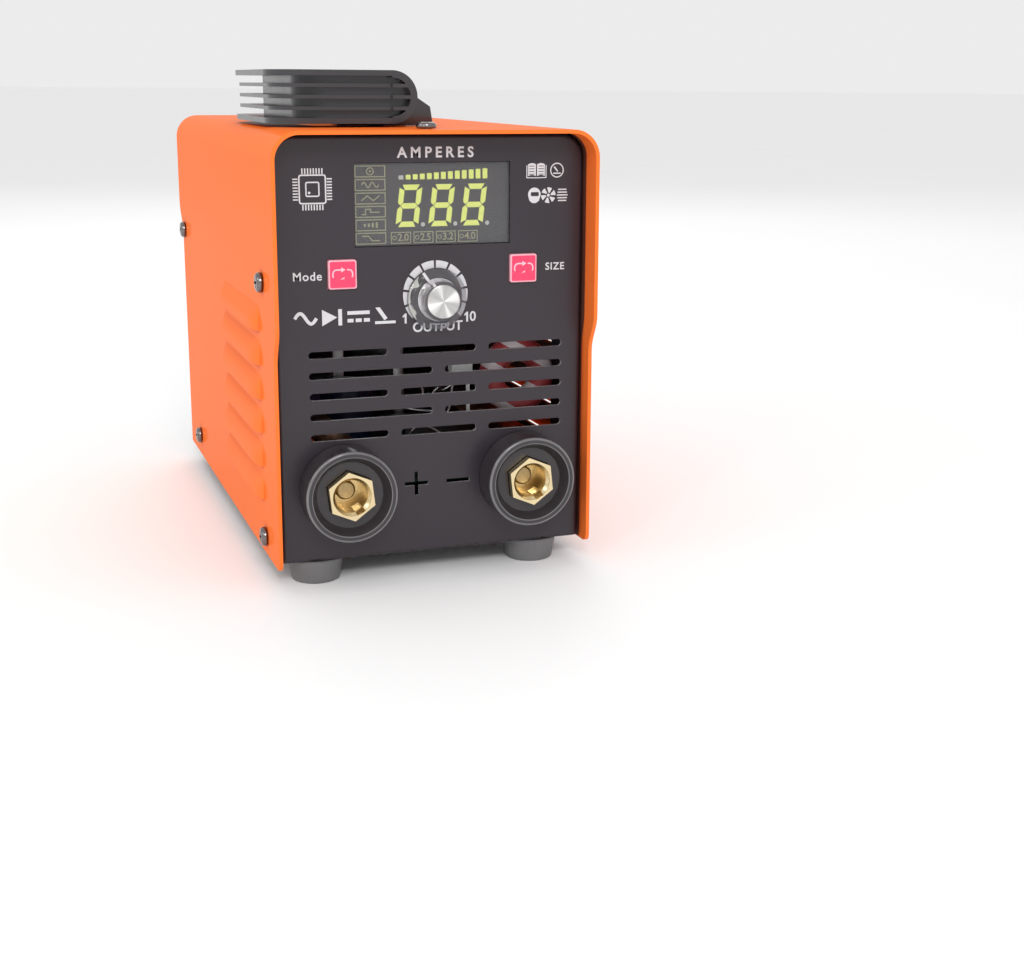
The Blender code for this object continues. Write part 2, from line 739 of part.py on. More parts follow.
def potentiometer(steel, brass):
    """The potentiometer with its threaded bush through the panel, its shaft, and its nut."""
    mesh = bmesh.new()
    bore = SHAFT_RADIUS + GAP
    inner = SHEET + GAP
    profile = [
        (BUSH_RADIUS, -3.4),
        (BUSH_RADIUS, inner),
        (POT_RADIUS, inner),
        (POT_RADIUS, BOARD_Y[0] - GAP),
        (0, BOARD_Y[0] - GAP),
        (0, 5.0),
        (bore, 5.0),
        (bore, -3.4),
    ]
    turned(mesh, profile, "y", DIAL, 24)
    make("potentiometer", mesh, steel)

    mesh = bmesh.new()
    rod(mesh, SHAFT_RADIUS, "y", DIAL, KNOB_FRONT + 1.6, 5.0 - GAP, 16)
    make("pot_shaft", mesh, steel, (DIAL[0], 0.0, DIAL[1]))

    mesh = bmesh.new()
    prism(mesh, polygon(DIAL, 10.0), "y", -2.3, -GAP)
    nut = make("pot_nut", mesh, brass)
    hole = bmesh.new()
    rod(hole, BUSH_RADIUS + GAP, "y", DIAL, -5.0, 5.0, 16)
    cut(nut, hole)


def knob(body_look, cap_look):
    """A knob with a flared skirt and a flat metal cap; both turn about the potentiometer's axis."""
    axis_point = (DIAL[0], 0.0, DIAL[1])
    bore = SHAFT_RADIUS + GAP
    back = -0.9
    mesh = bmesh.new()
    profile = [
        (bore, -4.0),
        (6.8, -4.0),
        (6.8, back),
        (KNOB_SKIRT, back),
        (KNOB_SKIRT, back - 0.8),
        (KNOB_GRIP + 2.4, -2.6),
        (KNOB_GRIP + 0.5, -4.2),
        (KNOB_GRIP, KNOB_FRONT + 0.7),
        (KNOB_GRIP - 0.7, KNOB_FRONT),
        (0, KNOB_FRONT),
        (0, KNOB_FRONT + 1.3),
        (bore, KNOB_FRONT + 1.3),
    ]
    turned(mesh, profile, "y", DIAL, 20)
    make("knob", mesh, body_look, axis_point)
    mesh = bmesh.new()
    front = KNOB_FRONT - GAP
    profile = [(0, front), (KNOB_CAP, front), (KNOB_CAP, front - 0.3), (KNOB_CAP - 0.3, front - 0.6)]
    turned(mesh, [*profile, (0, front - 0.6)], "y", DIAL, 20)
    make("knob_cap", mesh, cap_look, axis_point)


# Output sockets


def output_socket(sign, x, plastic, brass, copper):
    """One panel socket: insulating body, brass insert, clamp nut and the bar it feeds."""
    centre = (x, SOCKET_Z)
    tail = SHEET + 12.0
    mesh = bmesh.new()
    profile = [
        (SOCKET_RADIUS, -GAP),
        (SOCKET_RADIUS, SOCKET_RADIUS - RIM_FLAT[1] - SOCKET_PROUD),
        (RIM_FLAT[1], -SOCKET_PROUD),
        (RIM_FLAT[0], -SOCKET_PROUD),
        (RECESS_RADIUS, RECESS_DEPTH - SOCKET_PROUD),
        (0, RECESS_DEPTH - SOCKET_PROUD),
        (0, tail),
        (SOCKET_SPIGOT, tail),
        (SOCKET_SPIGOT, -GAP),
    ]
    turned(mesh, profile, "y", centre, 28)
    body = make(f"socket_body_{sign}", mesh, plastic)
    hollow = bmesh.new()
    prism(hollow, polygon(centre, HEX_FLATS + 2 * GAP, turn=HEX_TURN), "y", -20.0, tail + 5.0)
    cut(body, hollow)

    mesh = bmesh.new()
    prism(mesh, polygon(centre, HEX_FLATS, turn=HEX_TURN), "y", HEX_FRONT, tail)
    insert = make(f"socket_insert_{sign}", mesh, brass)
    stud = bmesh.new()
    rod(stud, STUD_RADIUS, "y", centre, tail - 1.0, tail + 13.0, 16)
    fuse(insert, stud)
    hollow_out = bmesh.new()
    floor = HEX_FRONT + BORE_DEPTH
    chamfer = BORE_MOUTH - BORE_RADIUS
    profile = [
        (0, HEX_FRONT - 5),
        (BORE_MOUTH, HEX_FRONT - 5),
        (BORE_MOUTH, HEX_FRONT),
        (BORE_RADIUS, HEX_FRONT + chamfer),
        (BORE_RADIUS, floor),
        (BOSS_RADIUS, floor),
        (BOSS_RADIUS, HEX_FRONT + BOSS_SETBACK),
        (0, HEX_FRONT + BOSS_SETBACK),
    ]
    turned(hollow_out, profile, "y", centre, 18)
    cut(insert, hollow_out)

    mesh = bmesh.new()
    prism(mesh, polygon(centre, 31.0, turn=90.0), "y", SHEET + GAP, SHEET + GAP + 5.0)
    nut = make(f"socket_nut_{sign}", mesh, plastic)
    hole = bmesh.new()
    rod(hole, SOCKET_SPIGOT + GAP, "y", centre, -5.0, 20.0, 28)
    cut(nut, hole)

    bar_y = tail + GAP + 1.0
    low, high = BUSBAR_Z
    outline = [(bar_y, low), (bar_y + BUSBAR_THICK, low), (bar_y + BUSBAR_THICK, high - BUSBAR_THICK)]
    outline += [(BUSBAR_REAR, high - BUSBAR_THICK), (BUSBAR_REAR, high), (bar_y, high)]
    mesh = bmesh.new()
    prism(mesh, outline, "x", x - BUSBAR_HALF, x + BUSBAR_HALF)
    bar = make(f"busbar_{sign}", mesh, copper)
    hole = bmesh.new()
    rod(hole, STUD_RADIUS + GAP, "y", centre, bar_y - 5, bar_y + 8, 16)
    cut(bar, hole)


# Rear


def fan(plastic, rotor_look, wire):
    """The cooling fan behind the rear panel: frame, rotor, and the wire guard outside."""
    x, z = FAN_CENTRE
    half = FAN_SIZE / 2
    back = REAR_FACE - SHEET - GAP
    front = back - FAN_DEPTH
    mesh = bmesh.new()
    box(mesh, (x - half, x + half), (front, back), (z - half, z + half))
    frame = make("fan_frame", mesh, plastic)
    bore = bmesh.new()
    rod(bore, FAN_BORE, "y", FAN_CENTRE, front - 5, back + 5, 36)
    for a in (-1, 1):
        for b in (-1, 1):
            place = (x + a * FAN_MOUNT, z + b * FAN_MOUNT)
            rod(bore, 2.2, "y", place, front - 5, back + 5, 10)
    cut(frame, bore)
    spider = bmesh.new()
    rod(spider, FAN_HUB - 1, "y", FAN_CENTRE, front + 0.1, front + 4.0, 20)
    fuse(frame, spider)
    arms = bmesh.new()
    for turn in (45, 135):
        angle = math.radians(turn)
        along = Vector((math.cos(angle), math.sin(angle)))
        across = Vector((-along.y, along.x)) * 2.0
        ends = [(end, side) for end, side in ((-1, -1), (1, -1), (1, 1), (-1, 1))]
        reach = along * (FAN_BORE + 1.5)
        outline = [Vector(FAN_CENTRE) + reach * end + across * side for end, side in ends]
        prism(arms, [tuple(point) for point in outline], "y", front + 0.6, front + 3.0)
    fuse(frame, arms)

    mesh = bmesh.new()
    rotor_front = front + 4.0 + GAP
    rotor_back = back - 1.5
    profile = [(0, rotor_front), (FAN_HUB, rotor_front), (FAN_HUB, rotor_back - 1)]
    profile += [(FAN_HUB - 1, rotor_back), (0, rotor_back)]
    turned(mesh, profile, "y", FAN_CENTRE, 28)
    rotor = make("fan_rotor", mesh, rotor_look, (x, rotor_back, z))
    blades = bmesh.new()
    for i in range(FAN_BLADES):
        fan_blade(blades, 360 / FAN_BLADES * i, rotor_front + 1, rotor_back - 1)
    fuse(rotor, blades)

    fan_guard(wire, REAR_FACE + GAP)


def fan_blade(mesh, turn, front, back):
    """One twisted blade, a thin closed strip from inside the hub to just short of the bore."""
    x, z = FAN_CENTRE
    steps = 4
    sections = []
    for i in range(steps + 1):
        radius = FAN_HUB - 1.5 + (FAN_BORE - 1.2 - FAN_HUB + 1.5) * i / steps
        sweep = 34 - 10 * i / steps
        section = []
        for lead, y in ((-sweep / 2, front), (sweep / 2, back)):
            for thick in (-0.7, 0.7):
                angle = math.radians(turn + lead) + thick / radius
                section.append(
                    mesh.verts.new((x + radius * math.cos(angle), y, z + radius * math.sin(angle)))
                )
        sections.append([section[0], section[1], section[3], section[2]])
    for this, following in zip(sections, sections[1:]):
        for i in range(4):
            j = (i + 1) % 4
            mesh.faces.new((this[i], this[j], following[j], following[i]))
    mesh.faces.new(sections[0][::-1])
    mesh.faces.new(sections[-1])


def fan_guard(look, start):
    """Rings of flat wire on two crossed bars that reach the four fan screws."""
    mesh = bmesh.new()
    x, z = FAN_CENTRE
    for i, radius in enumerate(GUARD_RINGS):
        target = mesh if i == 0 else bmesh.new()
        profile = [(radius - 0.8, start + 0.6), (radius + 0.8, start + 0.6)]
        profile += [(radius + 0.8, start + 2.0), (radius - 0.8, start + 2.0)]
        turned(target, profile, "y", FAN_CENTRE, 32)
        if i == 0:
            guard = make("fan_guard", mesh, look)
        else:
            fuse(guard, target)
    for turn in (45, 135):
        angle = math.radians(turn)
        along = Vector((math.cos(angle), math.sin(angle))) * (FAN_MOUNT * math.sqrt(2) + 3.4)
        across = Vector((-math.sin(angle), math.cos(angle))) * 1.3
        centre = Vector((x, z))
        outline = [centre - along - across, centre + along - across]
        outline += [centre + along + across, centre - along + across]
        bar = bmesh.new()
        prism(bar, [tuple(point) for point in outline], "y", start, start + 1.3)
        fuse(guard, bar)


def power_switch(plastic, red):
    """A two-pole rocker switch: the body snaps into the rear panel and the rocker tilts in it."""
    x, z = SWITCH
    width, height = SWITCH_HOLE
    face = REAR_FACE + GAP
    mesh = bmesh.new()
    prism(mesh, rectangle(SWITCH, width + 4.0, height + 4.4), "y", face, face + 2.0)
    body = make("power_switch", mesh, plastic)
    rear = bmesh.new()
    prism(rear, rectangle(SWITCH, width - 2 * GAP, height - 2 * GAP), "y", face - 22.0, face + 1.0)
    fuse(body, rear)
    well = bmesh.new()
    prism(well, rectangle(SWITCH, width - 3.4, height - 3.4), "y", face - 6.5, face + 9)
    cut(body, well)

    pivot_y = face - 0.4
    mesh = bmesh.new()
    half = (width - 3.4) / 2 - GAP
    tilt = math.radians(ROCKER_SWING / 2)
    outline = []
    for y, dz in ((-3.6, -6.0), (-3.6, 6.0), (2.6, 8.1), (4.4, 7.9), (3.0, 0.0), (4.4, -7.9), (2.6, -8.1)):
        outline.append(
            (
                pivot_y + y * math.cos(tilt) - dz * math.sin(tilt),
                z + y * math.sin(tilt) + dz * math.cos(tilt),
            )
        )
    prism(mesh, outline, "x", x - half, x + half)
    make("power_rocker", mesh, red, (x, pivot_y, z))


def cable_gland(plastic):
    """The inlet gland for the mains lead, open through its middle, with its nut inside the panel."""
    face = REAR_FACE + GAP
    mesh = bmesh.new()
    prism(mesh, polygon(GLAND, GLAND_FLATS), "y", face, face + 5.0)
    gland = make("cable_gland", mesh, plastic)
    thread = bmesh.new()
    rod(thread, GLAND_THREAD, "y", GLAND, face - 14.0, face + 1.0, 20)
    fuse(gland, thread)
    dome = bmesh.new()
    profile = [(0, face + 4.0), (GLAND_DOME, face + 4.0), (GLAND_DOME, face + 8.0)]
    profile += [(GLAND_DOME - 2.6, face + 12.2), (0, face + 12.2)]
    turned(dome, profile, "y", GLAND, 24)
    fuse(gland, dome)
    bore = bmesh.new()
    rod(bore, GLAND_BORE, "y", GLAND, face - 20.0, face + 20.0, 16)
    cut(gland, bore)

    inner = REAR_FACE - SHEET - GAP
    mesh = bmesh.new()
    prism(mesh, polygon(GLAND, 26.0), "y", inner - 5.0, inner)
    nut = make("gland_nut", mesh, plastic)
    hole = bmesh.new()
    rod(hole, GLAND_THREAD + GAP, "y", GLAND, inner - 9.0, inner + 5.0, 20)
    cut(nut, hole)


# Power stage


def heatsink(name, look, side):
    """A finned extrusion standing on the main board."""
    inner, outer = HEATSINK_X
    foot = BOARD_Z[1] + GAP
    top = foot + HEATSINK_HEIGHT
    web = 5.0
    thick = 1.8
    pitch = (HEATSINK_HEIGHT - thick) / (HEATSINK_FINS - 1)
    outline = [(inner, foot)]
    for i in range(HEATSINK_FINS):
        low = foot + i * pitch
        outline += [(outer, low), (outer, low + thick)]
        if i < HEATSINK_FINS - 1:
            outline += [(inner + web, low + thick), (inner + web, low + pitch)]
    outline += [(inner, top)]
    mesh = bmesh.new()
    prism(mesh, [(side * a, b) for a, b in outline], "y", *HEATSINK_Y)
    return make(name, mesh, look)


def power_stage(board, black, aluminium, ferrite, tape, sleeve, red):
    mesh = bmesh.new()
    half = MAIN_BOARD_HALF
    box(mesh, (-half, half), MAIN_BOARD_Y, BOARD_Z)
    make("main_board", mesh, board)
    for name, side in (("left", -1), ("right", 1)):
        mesh = bmesh.new()
        ends = sorted((side * 44.0, side * 54.0))
        box(mesh, ends, MAIN_BOARD_Y, (SHEET + GAP, BOARD_Z[0] - GAP))
        make(f"board_rail_{name}", mesh, black)
        heatsink(f"heatsink_{name}", aluminium, side)

    foot = BOARD_Z[1] + GAP
    for i, y in enumerate(CAPACITOR_Y):
        mesh = bmesh.new()
        top = foot + CAPACITOR_HEIGHT
        profile = [(0, foot), (CAPACITOR_RADIUS, foot), (CAPACITOR_RADIUS, top - 0.8)]
        profile += [(CAPACITOR_RADIUS - 0.8, top), (0, top)]
        x = -42.0 + 27.0 * i
        turned(mesh, profile, "z", (x, y), 20)
        make(f"capacitor_{i + 1}", mesh, sleeve)

    # The main transformer: a ferrite frame round its middle leg, and the winding on that leg.
    mesh = bmesh.new()
    box(mesh, (8.0, 52.0), (72.0, 98.0), (foot, foot + 24.0))
    core = make("transformer_core", mesh, ferrite)
    windows = bmesh.new()
    for x in ((13.0, 24.0), (36.0, 47.0)):
        box(windows, x, (60.0, 110.0), (foot + 5.0, foot + 19.0))
    cut(core, windows)
    mesh = bmesh.new()
    outer = ((13.4, 46.6), (67.5, 102.5), (foot + 5.4, foot + 18.6))
    box(mesh, *outer)
    winding = make("transformer_winding", mesh, tape)
    leg = bmesh.new()
    box(leg, (23.6, 36.4), (71.6, 98.4), (-20.0, foot + 40.0))
    cut(winding, leg)

    mesh = bmesh.new()
    inner, outer_radius = CHOKE_RADII
    y0, y1 = CHOKE_Y
    soft = 3.5
    profile = [
        (inner, y0 + soft),
        (inner + soft, y0),
        (outer_radius - soft, y0),
        (outer_radius, y0 + soft),
        (outer_radius, y1 - soft),
        (outer_radius - soft, y1),
        (inner + soft, y1),
        (inner, y1 - soft),
    ]
    turned(mesh, profile, "y", CHOKE, 20)
    make("output_choke", mesh, red)


def main():
    clear_scene()
    orange = paint("orange_powder_coat", (0.92, 0.21, 0.065), 0.32)
    black_paint = paint("black_powder_coat", (0.045, 0.04, 0.045), 0.4)
    black = paint("black_plastic", (0.03, 0.03, 0.035), 0.42)
    rubber = paint("black_rubber", (0.02, 0.02, 0.02), 0.75)
    steel = paint("zinc_steel", (0.55, 0.55, 0.56), 0.35, 1.0)
    dark_steel = paint("black_steel", (0.07, 0.07, 0.075), 0.35, 1.0)
    brass = paint("brass", (0.78, 0.56, 0.26), 0.28, 1.0)
    copper = paint("copper", (0.72, 0.36, 0.22), 0.35, 1.0)
    aluminium = paint("aluminium", (0.75, 0.75, 0.76), 0.3, 1.0)
    window = paint("smoked_window", (0.25, 0.27, 0.25), 0.12, 0.0, 0.8)
    key = paint("pink_key", (0.85, 0.09, 0.17), 0.35)
    glossy = paint("knob_plastic", (0.03, 0.03, 0.035), 0.12)
    red = paint("red_varnish", (0.42, 0.03, 0.03), 0.4)
    board = paint("circuit_board", (0.02, 0.12, 0.05), 0.45)
    ferrite = paint("ferrite", (0.06, 0.06, 0.065), 0.6)
    tape = paint("amber_tape", (0.75, 0.5, 0.08), 0.35)
    sleeve = paint("blue_sleeve", (0.03, 0.05, 0.2), 0.35)

    front_chassis(black_paint)
    rear_panel(black_paint)
    cover(orange)
    number = 0
    for side in (-1, 1):
        for place in SIDE_SCREWS:
            number += 1
            seat = side * cover_half(place[1])
            screw(f"cover_screw_{number}", dark_steel, "x", place, seat, side)
    for end, place in zip(("front", "rear"), top_screws()):
        screw(f"top_screw_{end}", dark_steel, "z", place, COVER_TOP, 1)
    feet(rubber)

    handle_bail(black)
    handle_mounts(black, dark_steel)

    width, height = DISPLAY[2] - 2 * GAP, DISPLAY[3] - 2 * GAP
    plate("display_window", window, DISPLAY[:2], width, height, (0.2, 1.7))
    plate("display_module", black, DISPLAY[:2], width, height, (2.0, BOARD_Y[0] - GAP))
    control_board(board)
    for name, x in zip(("function", "rod"), BUTTON_X):
        push_button(f"{name}_button", key, x)
        tact_switch(f"{name}_switch", black, x)
    potentiometer(steel, brass)
    knob(glossy, aluminium)
    for sign, side in (("plus", -1), ("minus", 1)):
        output_socket(sign, side * SOCKET_X, black, brass, copper)

    fan(black, black, steel)
    power_switch(black, red)
    cable_gland(black)
    power_stage(board, black, aluminium, ferrite, tape, sleeve, red)


main()
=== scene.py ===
import math

import bmesh
import bpy
from mathutils import Matrix, Vector


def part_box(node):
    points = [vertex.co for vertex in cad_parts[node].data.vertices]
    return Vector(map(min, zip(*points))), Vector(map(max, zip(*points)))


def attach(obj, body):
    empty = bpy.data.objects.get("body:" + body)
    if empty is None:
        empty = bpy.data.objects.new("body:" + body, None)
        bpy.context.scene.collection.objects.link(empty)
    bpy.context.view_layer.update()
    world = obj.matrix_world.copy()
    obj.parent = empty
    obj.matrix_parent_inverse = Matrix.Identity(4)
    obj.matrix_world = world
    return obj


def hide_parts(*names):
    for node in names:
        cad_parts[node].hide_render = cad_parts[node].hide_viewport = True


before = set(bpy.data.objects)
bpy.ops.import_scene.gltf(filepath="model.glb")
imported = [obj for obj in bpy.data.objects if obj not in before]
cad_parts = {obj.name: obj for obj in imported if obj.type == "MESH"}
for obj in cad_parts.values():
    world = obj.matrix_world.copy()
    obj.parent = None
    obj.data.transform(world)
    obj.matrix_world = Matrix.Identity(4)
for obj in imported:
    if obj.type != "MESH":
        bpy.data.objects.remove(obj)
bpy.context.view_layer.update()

# A stick welding inverter. The layout below is in millimetres, in the case's own coordinates:
# x across, y back from the front panel's face, z up from the underside of the chassis.
MM = 0.001
PANEL_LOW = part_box("front_chassis")[0]
ORIGIN = Vector((0.0, PANEL_LOW.y, PANEL_LOW.z))
PLANES = {"x": (1, 2, 0), "y": (0, 2, 1), "z": (0, 1, 2)}  # the outline's two axes, then the third


def case_box(node):
    """A CAD node's lowest and highest corners in case coordinates."""
    low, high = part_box(node)
    return (low - ORIGIN) / MM, (high - ORIGIN) / MM


def case_point(x, y, z):
    return ORIGIN + Vector((x, y, z)) * MM


def middle(node):
    low, high = case_box(node)
    return (low + high) / 2


def front_spot(node):
    """A node's middle as the front panel shows it: x and z."""
    centre = middle(node)
    return centre.x, centre.z


COVER_LOW, COVER_HIGH = case_box("cover")
CHASSIS_HIGH = case_box("front_chassis")[1]
BAIL_LOW, BAIL_HIGH = case_box("handle_bail")

# Cover
COVER_HALF_TOP = 65.6
COVER_HALF_FOOT = 66.6
COVER_SHEET = 1.5
COVER_BEND = 11.0
VISOR_FRONT, VISOR_REAR = COVER_LOW.y, COVER_HIGH.y
SKIRT_FRONT, SKIRT_REAR = -6.9, 234.0
FRONT_STEP = (82.0, 97.0)
REAR_STEP = (111.0, 126.0)
SKIRT_CORNER = 3.5
LOUVRES = 6
LOUVRE_ENDS = (20.5, 106.0)
LOUVRE_TOP = 102.0
LOUVRE_PITCH = 13.95
LOUVRE_HEIGHT = 10.0
LOUVRE_RISE = 2.8
LOUVRE_TAPERS = (15.0, 4.0)  # how far from its front and rear ends a hood reaches its full rise

# Chassis and front panel
SHEET = 1.2
FOLD_RADIUS = 1.8
CHASSIS_HALF = CHASSIS_HIGH.x
CHASSIS_TOP = CHASSIS_HIGH.z
CHASSIS_CORNER = 9.6
SLOT_ENDS = (-51.0, 55.3)
SLOT_TOP_ROW = 84.5
SLOT_PITCH = 8.32
SLOT_HEIGHT = 2.9
SLOT_GAP = 5.2
SIGN_X = (-7.6, 10.2)
SIGN_Z = 29.3
SIGN_LENGTH = 10.0
SIGN_BAR = 1.7
FOLD_SLOT = (10.0, 14.3)
SCREW_HEIGHT = 2.3
SCREW_HOLE = 1.9
PRINT_HEIGHT = 0.06  # how far ink stands off the panel

# Sockets
SOCKET_RADIUS = 18.6
SOCKET_SPIGOT = 11.7
RIM_FLAT = (16.0, 17.7)
RECESS_RADIUS = 13.5
RECESS_DEPTH = 4.7
HEX_FLATS = 17.6
HEX_TURN = 96.5
HEX_FRONT = case_box("socket_insert_plus")[0].y
BORE_RADIUS = 6.6
BORE_MOUTH = 7.8
BORE_DEPTH = 17.0
BOSS_SETBACK = 10.5
KEY_WAY_ANGLE = -62.0

# Knob
DIAL = front_spot("pot_shaft")
SCALE_CENTRE = (1.0, 106.7)
POINTER_ANGLE = 119.0
POINTER_HALF = 0.55
FAN_ANGLE = 20.0  # where the cap's broad painted fan of light lies
BAND_SLOPE = 1.7  # how steeply the choke's bands fall to the right

# Rear
FAN_MOUNT = 71.5 / 2
GUARD_RINGS = (13.0, 24.5, 36.0)
WIRE_RADIUS = 0.8

# Handle
PIVOT = front_spot("handle_pin_front")
BAIL_CORNER = 16.5
RIB_DEPTH = 11.3
ARM_RIB_DEPTH = 4.5
CORE_DEPTH = 9.0
CORE_CORNER = 14.0
OUTER_RIB = 2.2
INNER_RIB = 1.4
INNER_SETBACK = 1.5
END_WALL = 2.8


# Finish
WELD_REACH = 2e-6  # metres
SHARP_ANGLE = 38.0


# Mesh helpers, in case coordinates


def in_plane(axis, a, b, along):
    point = [0.0, 0.0, 0.0]
    for index, value in zip(PLANES[axis], (a, b, along)):
        point[index] = value
    return point


def box(mesh, x, y, z):
    low = Vector((x[0], y[0], z[0]))
    high = Vector((x[1], y[1], z[1]))
    bmesh.ops.create_cube(mesh, size=1.0, matrix=Matrix.LocRotScale((low + high) / 2, None, high - low))


def prism(mesh, outline, axis, start, end):
    near = [mesh.verts.new(in_plane(axis, a, b, start)) for a, b in outline]
    far = [mesh.verts.new(in_plane(axis, a, b, end)) for a, b in outline]
    mesh.faces.new(near)
    mesh.faces.new(far[::-1])
    for i in range(len(outline)):
        j = (i + 1) % len(outline)
        mesh.faces.new((near[j], near[i], far[i], far[j]))


def turned(mesh, profile, axis, centre, segments=48):
    """A closed profile of (radius, place along the axis) points turned about the axis."""
    rings = []
    for radius, along in profile:
        if radius == 0:
            rings.append([mesh.verts.new(in_plane(axis, *centre, along))] * segments)
            continue
        ring = []
        for i in range(segments):
            turn = 2 * math.pi * i / segments
            a = centre[0] + radius * math.cos(turn)
            b = centre[1] + radius * math.sin(turn)
            ring.append(mesh.verts.new(in_plane(axis, a, b, along)))
        rings.append(ring)
    for this, following in zip(rings, rings[1:] + rings[:1]):
        for i in range(segments):
            j = (i + 1) % segments
            corners = dict.fromkeys((this[i], this[j], following[j], following[i]))
            if len(corners) > 2:
                mesh.faces.new(list(corners))


def rod(mesh, radius, axis, centre, start, end, segments=32):
    turned(mesh, [(0, start), (radius, start), (radius, end), (0, end)], axis, centre, segments)


def arc(centre, radius, start, end, steps):
    points = []
    for i in range(steps + 1):
        turn = math.radians(start + (end - start) * i / steps)
        points.append((centre[0] + radius * math.cos(turn), centre[1] + radius * math.sin(turn)))
    return points


def hexagon(centre, flats, turn):
    return arc(centre, flats / 2 / math.cos(math.pi / 6), turn, turn + 360, 6)[:-1]


def circle(centre, radius, steps):
    return arc(centre, radius, 0, 360, steps)[:-1]


def slot(ends, height_at, height):
    radius = height / 2
    right = arc((ends[1] - radius, height_at), radius, -90, 90, 10)
    return right + arc((ends[0] + radius, height_at), radius, 90, 270, 10)


def rectangle(centre, width, height):
    x, z = centre
    w, h = width / 2, height / 2
    return [(x - w, z - h), (x + w, z - h), (x + w, z + h), (x - w, z + h)]


def rounded(centre, width, height, radius, steps=6):
    """A rectangle with round corners."""
    x, z = centre
    w, h = width / 2 - radius, height / 2 - radius
    points = []
    for i, (a, b) in enumerate(((w, h), (-w, h), (-w, -h), (w, -h))):
        points += arc((x + a, z + b), radius, 90 * i, 90 * i + 90, steps)
    return points


def arch(half_width, top, radius, bottom):
    right = arc((half_width - radius, top - radius), radius, 0, 90, 12)
    left = arc((radius - half_width, top - radius), radius, 90, 180, 12)
    return [(-half_width, bottom), (half_width, bottom), *right, *left]


def stroke(points, width, closed=False):
    """The outline of a line of constant width: one loop, or an outer and an inner loop if closed."""
    count = len(points)
    sides = ([], [])
    for i, here in enumerate(points):
        before = points[i - 1] if closed or i > 0 else None
        after = points[(i + 1) % count] if closed or i < count - 1 else None
        here = Vector(here)
        into = (here - Vector(before)).normalized() if before is not None else None
        away = (Vector(after) - here).normalized() if after is not None else None
        into, away = into or away, away or into
        across = Vector((-(into + away).y, (into + away).x)).normalized()
        spread = width / 2 / max(across.dot(Vector((-away.y, away.x))), 0.4)
        sides[0].append(tuple(here + across * spread))
        sides[1].append(tuple(here - across * spread))
    if closed:
        return [sides[0], sides[1]]
    return [sides[0] + sides[1][::-1]]


def smooth_step(share):
    return (1 - math.cos(math.pi * min(max(share, 0.0), 1.0))) / 2


# Objects


def link(name, data):
    made = bpy.data.objects.new(name, data)
    bpy.context.scene.collection.objects.link(made)
    return made


def to_mesh(name, mesh):
    """Turn a bmesh in case coordinates into a mesh in the row frame."""
    bmesh.ops.recalc_face_normals(mesh, faces=mesh.faces)
    data = bpy.data.meshes.new(name)
    mesh.transform(Matrix.Translation(ORIGIN) @ Matrix.Scale(MM, 4))
    mesh.to_mesh(data)
    mesh.free()
    return data


def apply_modifiers(made):
    graph = bpy.context.evaluated_depsgraph_get()
    data = bpy.data.meshes.new_from_object(made.evaluated_get(graph))
    made.modifiers.clear()
    old = made.data
    made.data = data
    bpy.data.meshes.remove(old)


def boolean(made, helper, operation):
    """Change an object by another, which is then removed."""
    modifier = made.modifiers.new("Boolean", "BOOLEAN")
    modifier.operation = operation
    modifier.solver = "EXACT"
    modifier.object = helper
    apply_modifiers(made)
    data = helper.data
    bpy.data.objects.remove(helper)
    bpy.data.meshes.remove(data)
    return made


def cut(made, mesh):
    return boolean(made, start("helper", mesh), "DIFFERENCE")


def thicken(made, thickness, offset=-1.0):
    """Give a surface a thickness, inwards unless told otherwise."""
    thick = made.modifiers.new("Solidify", "SOLIDIFY")
    thick.thickness = thickness * MM
    thick.offset = offset
    thick.use_even_offset = offset < 0
    apply_modifiers(made)


def fuse(made, mesh):
    return boolean(made, start("helper", mesh), "UNION")


def add_bevel(made, width, segments=2, angle=40.0):
    """Add modifiers that weld doubles and round the sharp edges by a radius in millimetres."""
    weld = made.modifiers.new("Weld", "WELD")
    weld.merge_threshold = WELD_REACH
    bevel = made.modifiers.new("Bevel", "BEVEL")
    bevel.width = width * MM
    bevel.segments = segments
    bevel.limit_method = "ANGLE"
    bevel.angle_limit = math.radians(angle)


def soften(made, width, segments=2, angle=40.0):
    add_bevel(made, width, segments, angle)
    apply_modifiers(made)
    return made


def shade(made, angle=SHARP_ANGLE):
    """Shade smooth except across sharp edges, with normals that keep flat faces flat."""
    made.data.shade_smooth()
    made.data.set_sharp_from_angle(angle=math.radians(angle))
    weighted = made.modifiers.new("Weighted Normal", "WEIGHTED_NORMAL")
    weighted.keep_sharp = True
    return made


def dress(made, look, body="root", replaces=(), angle=SHARP_ANGLE):
    """Finish a piece: shading, material, body, and the CAD nodes it stands for."""
    made.data.materials.clear()
    made.data.materials.append(look)
    shade(made, angle)
    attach(made, body)
    if replaces:
        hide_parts(*replaces)
    return made


def start(name, mesh):
    return link(name, to_mesh(name, mesh))


def second_look(made, look, chosen):
    """Give another material to the faces chosen by their middle, in case coordinates, and normal."""
    made.data.materials.append(LOOKS[look])
    for face in made.data.polygons:
        if chosen((face.center - ORIGIN) / MM, face.normal):
            face.material_index = 1


def filled(name, loops, y, thickness, bevel=0.0):
    """A flat shape facing the front, from y back by its thickness: the area inside the loops."""
    outline = bpy.data.curves.new(name, "CURVE")
    outline.dimensions = "2D"
    outline.fill_mode = "BOTH"
    outline.extrude = thickness / 2 - bevel
    outline.bevel_depth = bevel
    outline.bevel_resolution = 2
    outline.offset = -bevel
    for loop in loops:
        spline = outline.splines.new("POLY")
        spline.points.add(len(loop) - 1)
        for point, (x, z) in zip(spline.points, loop):
            point.co = (x, z, 0.0, 1.0)
        spline.use_cyclic_u = True
    return flat_mesh(name, outline, y + thickness / 2)


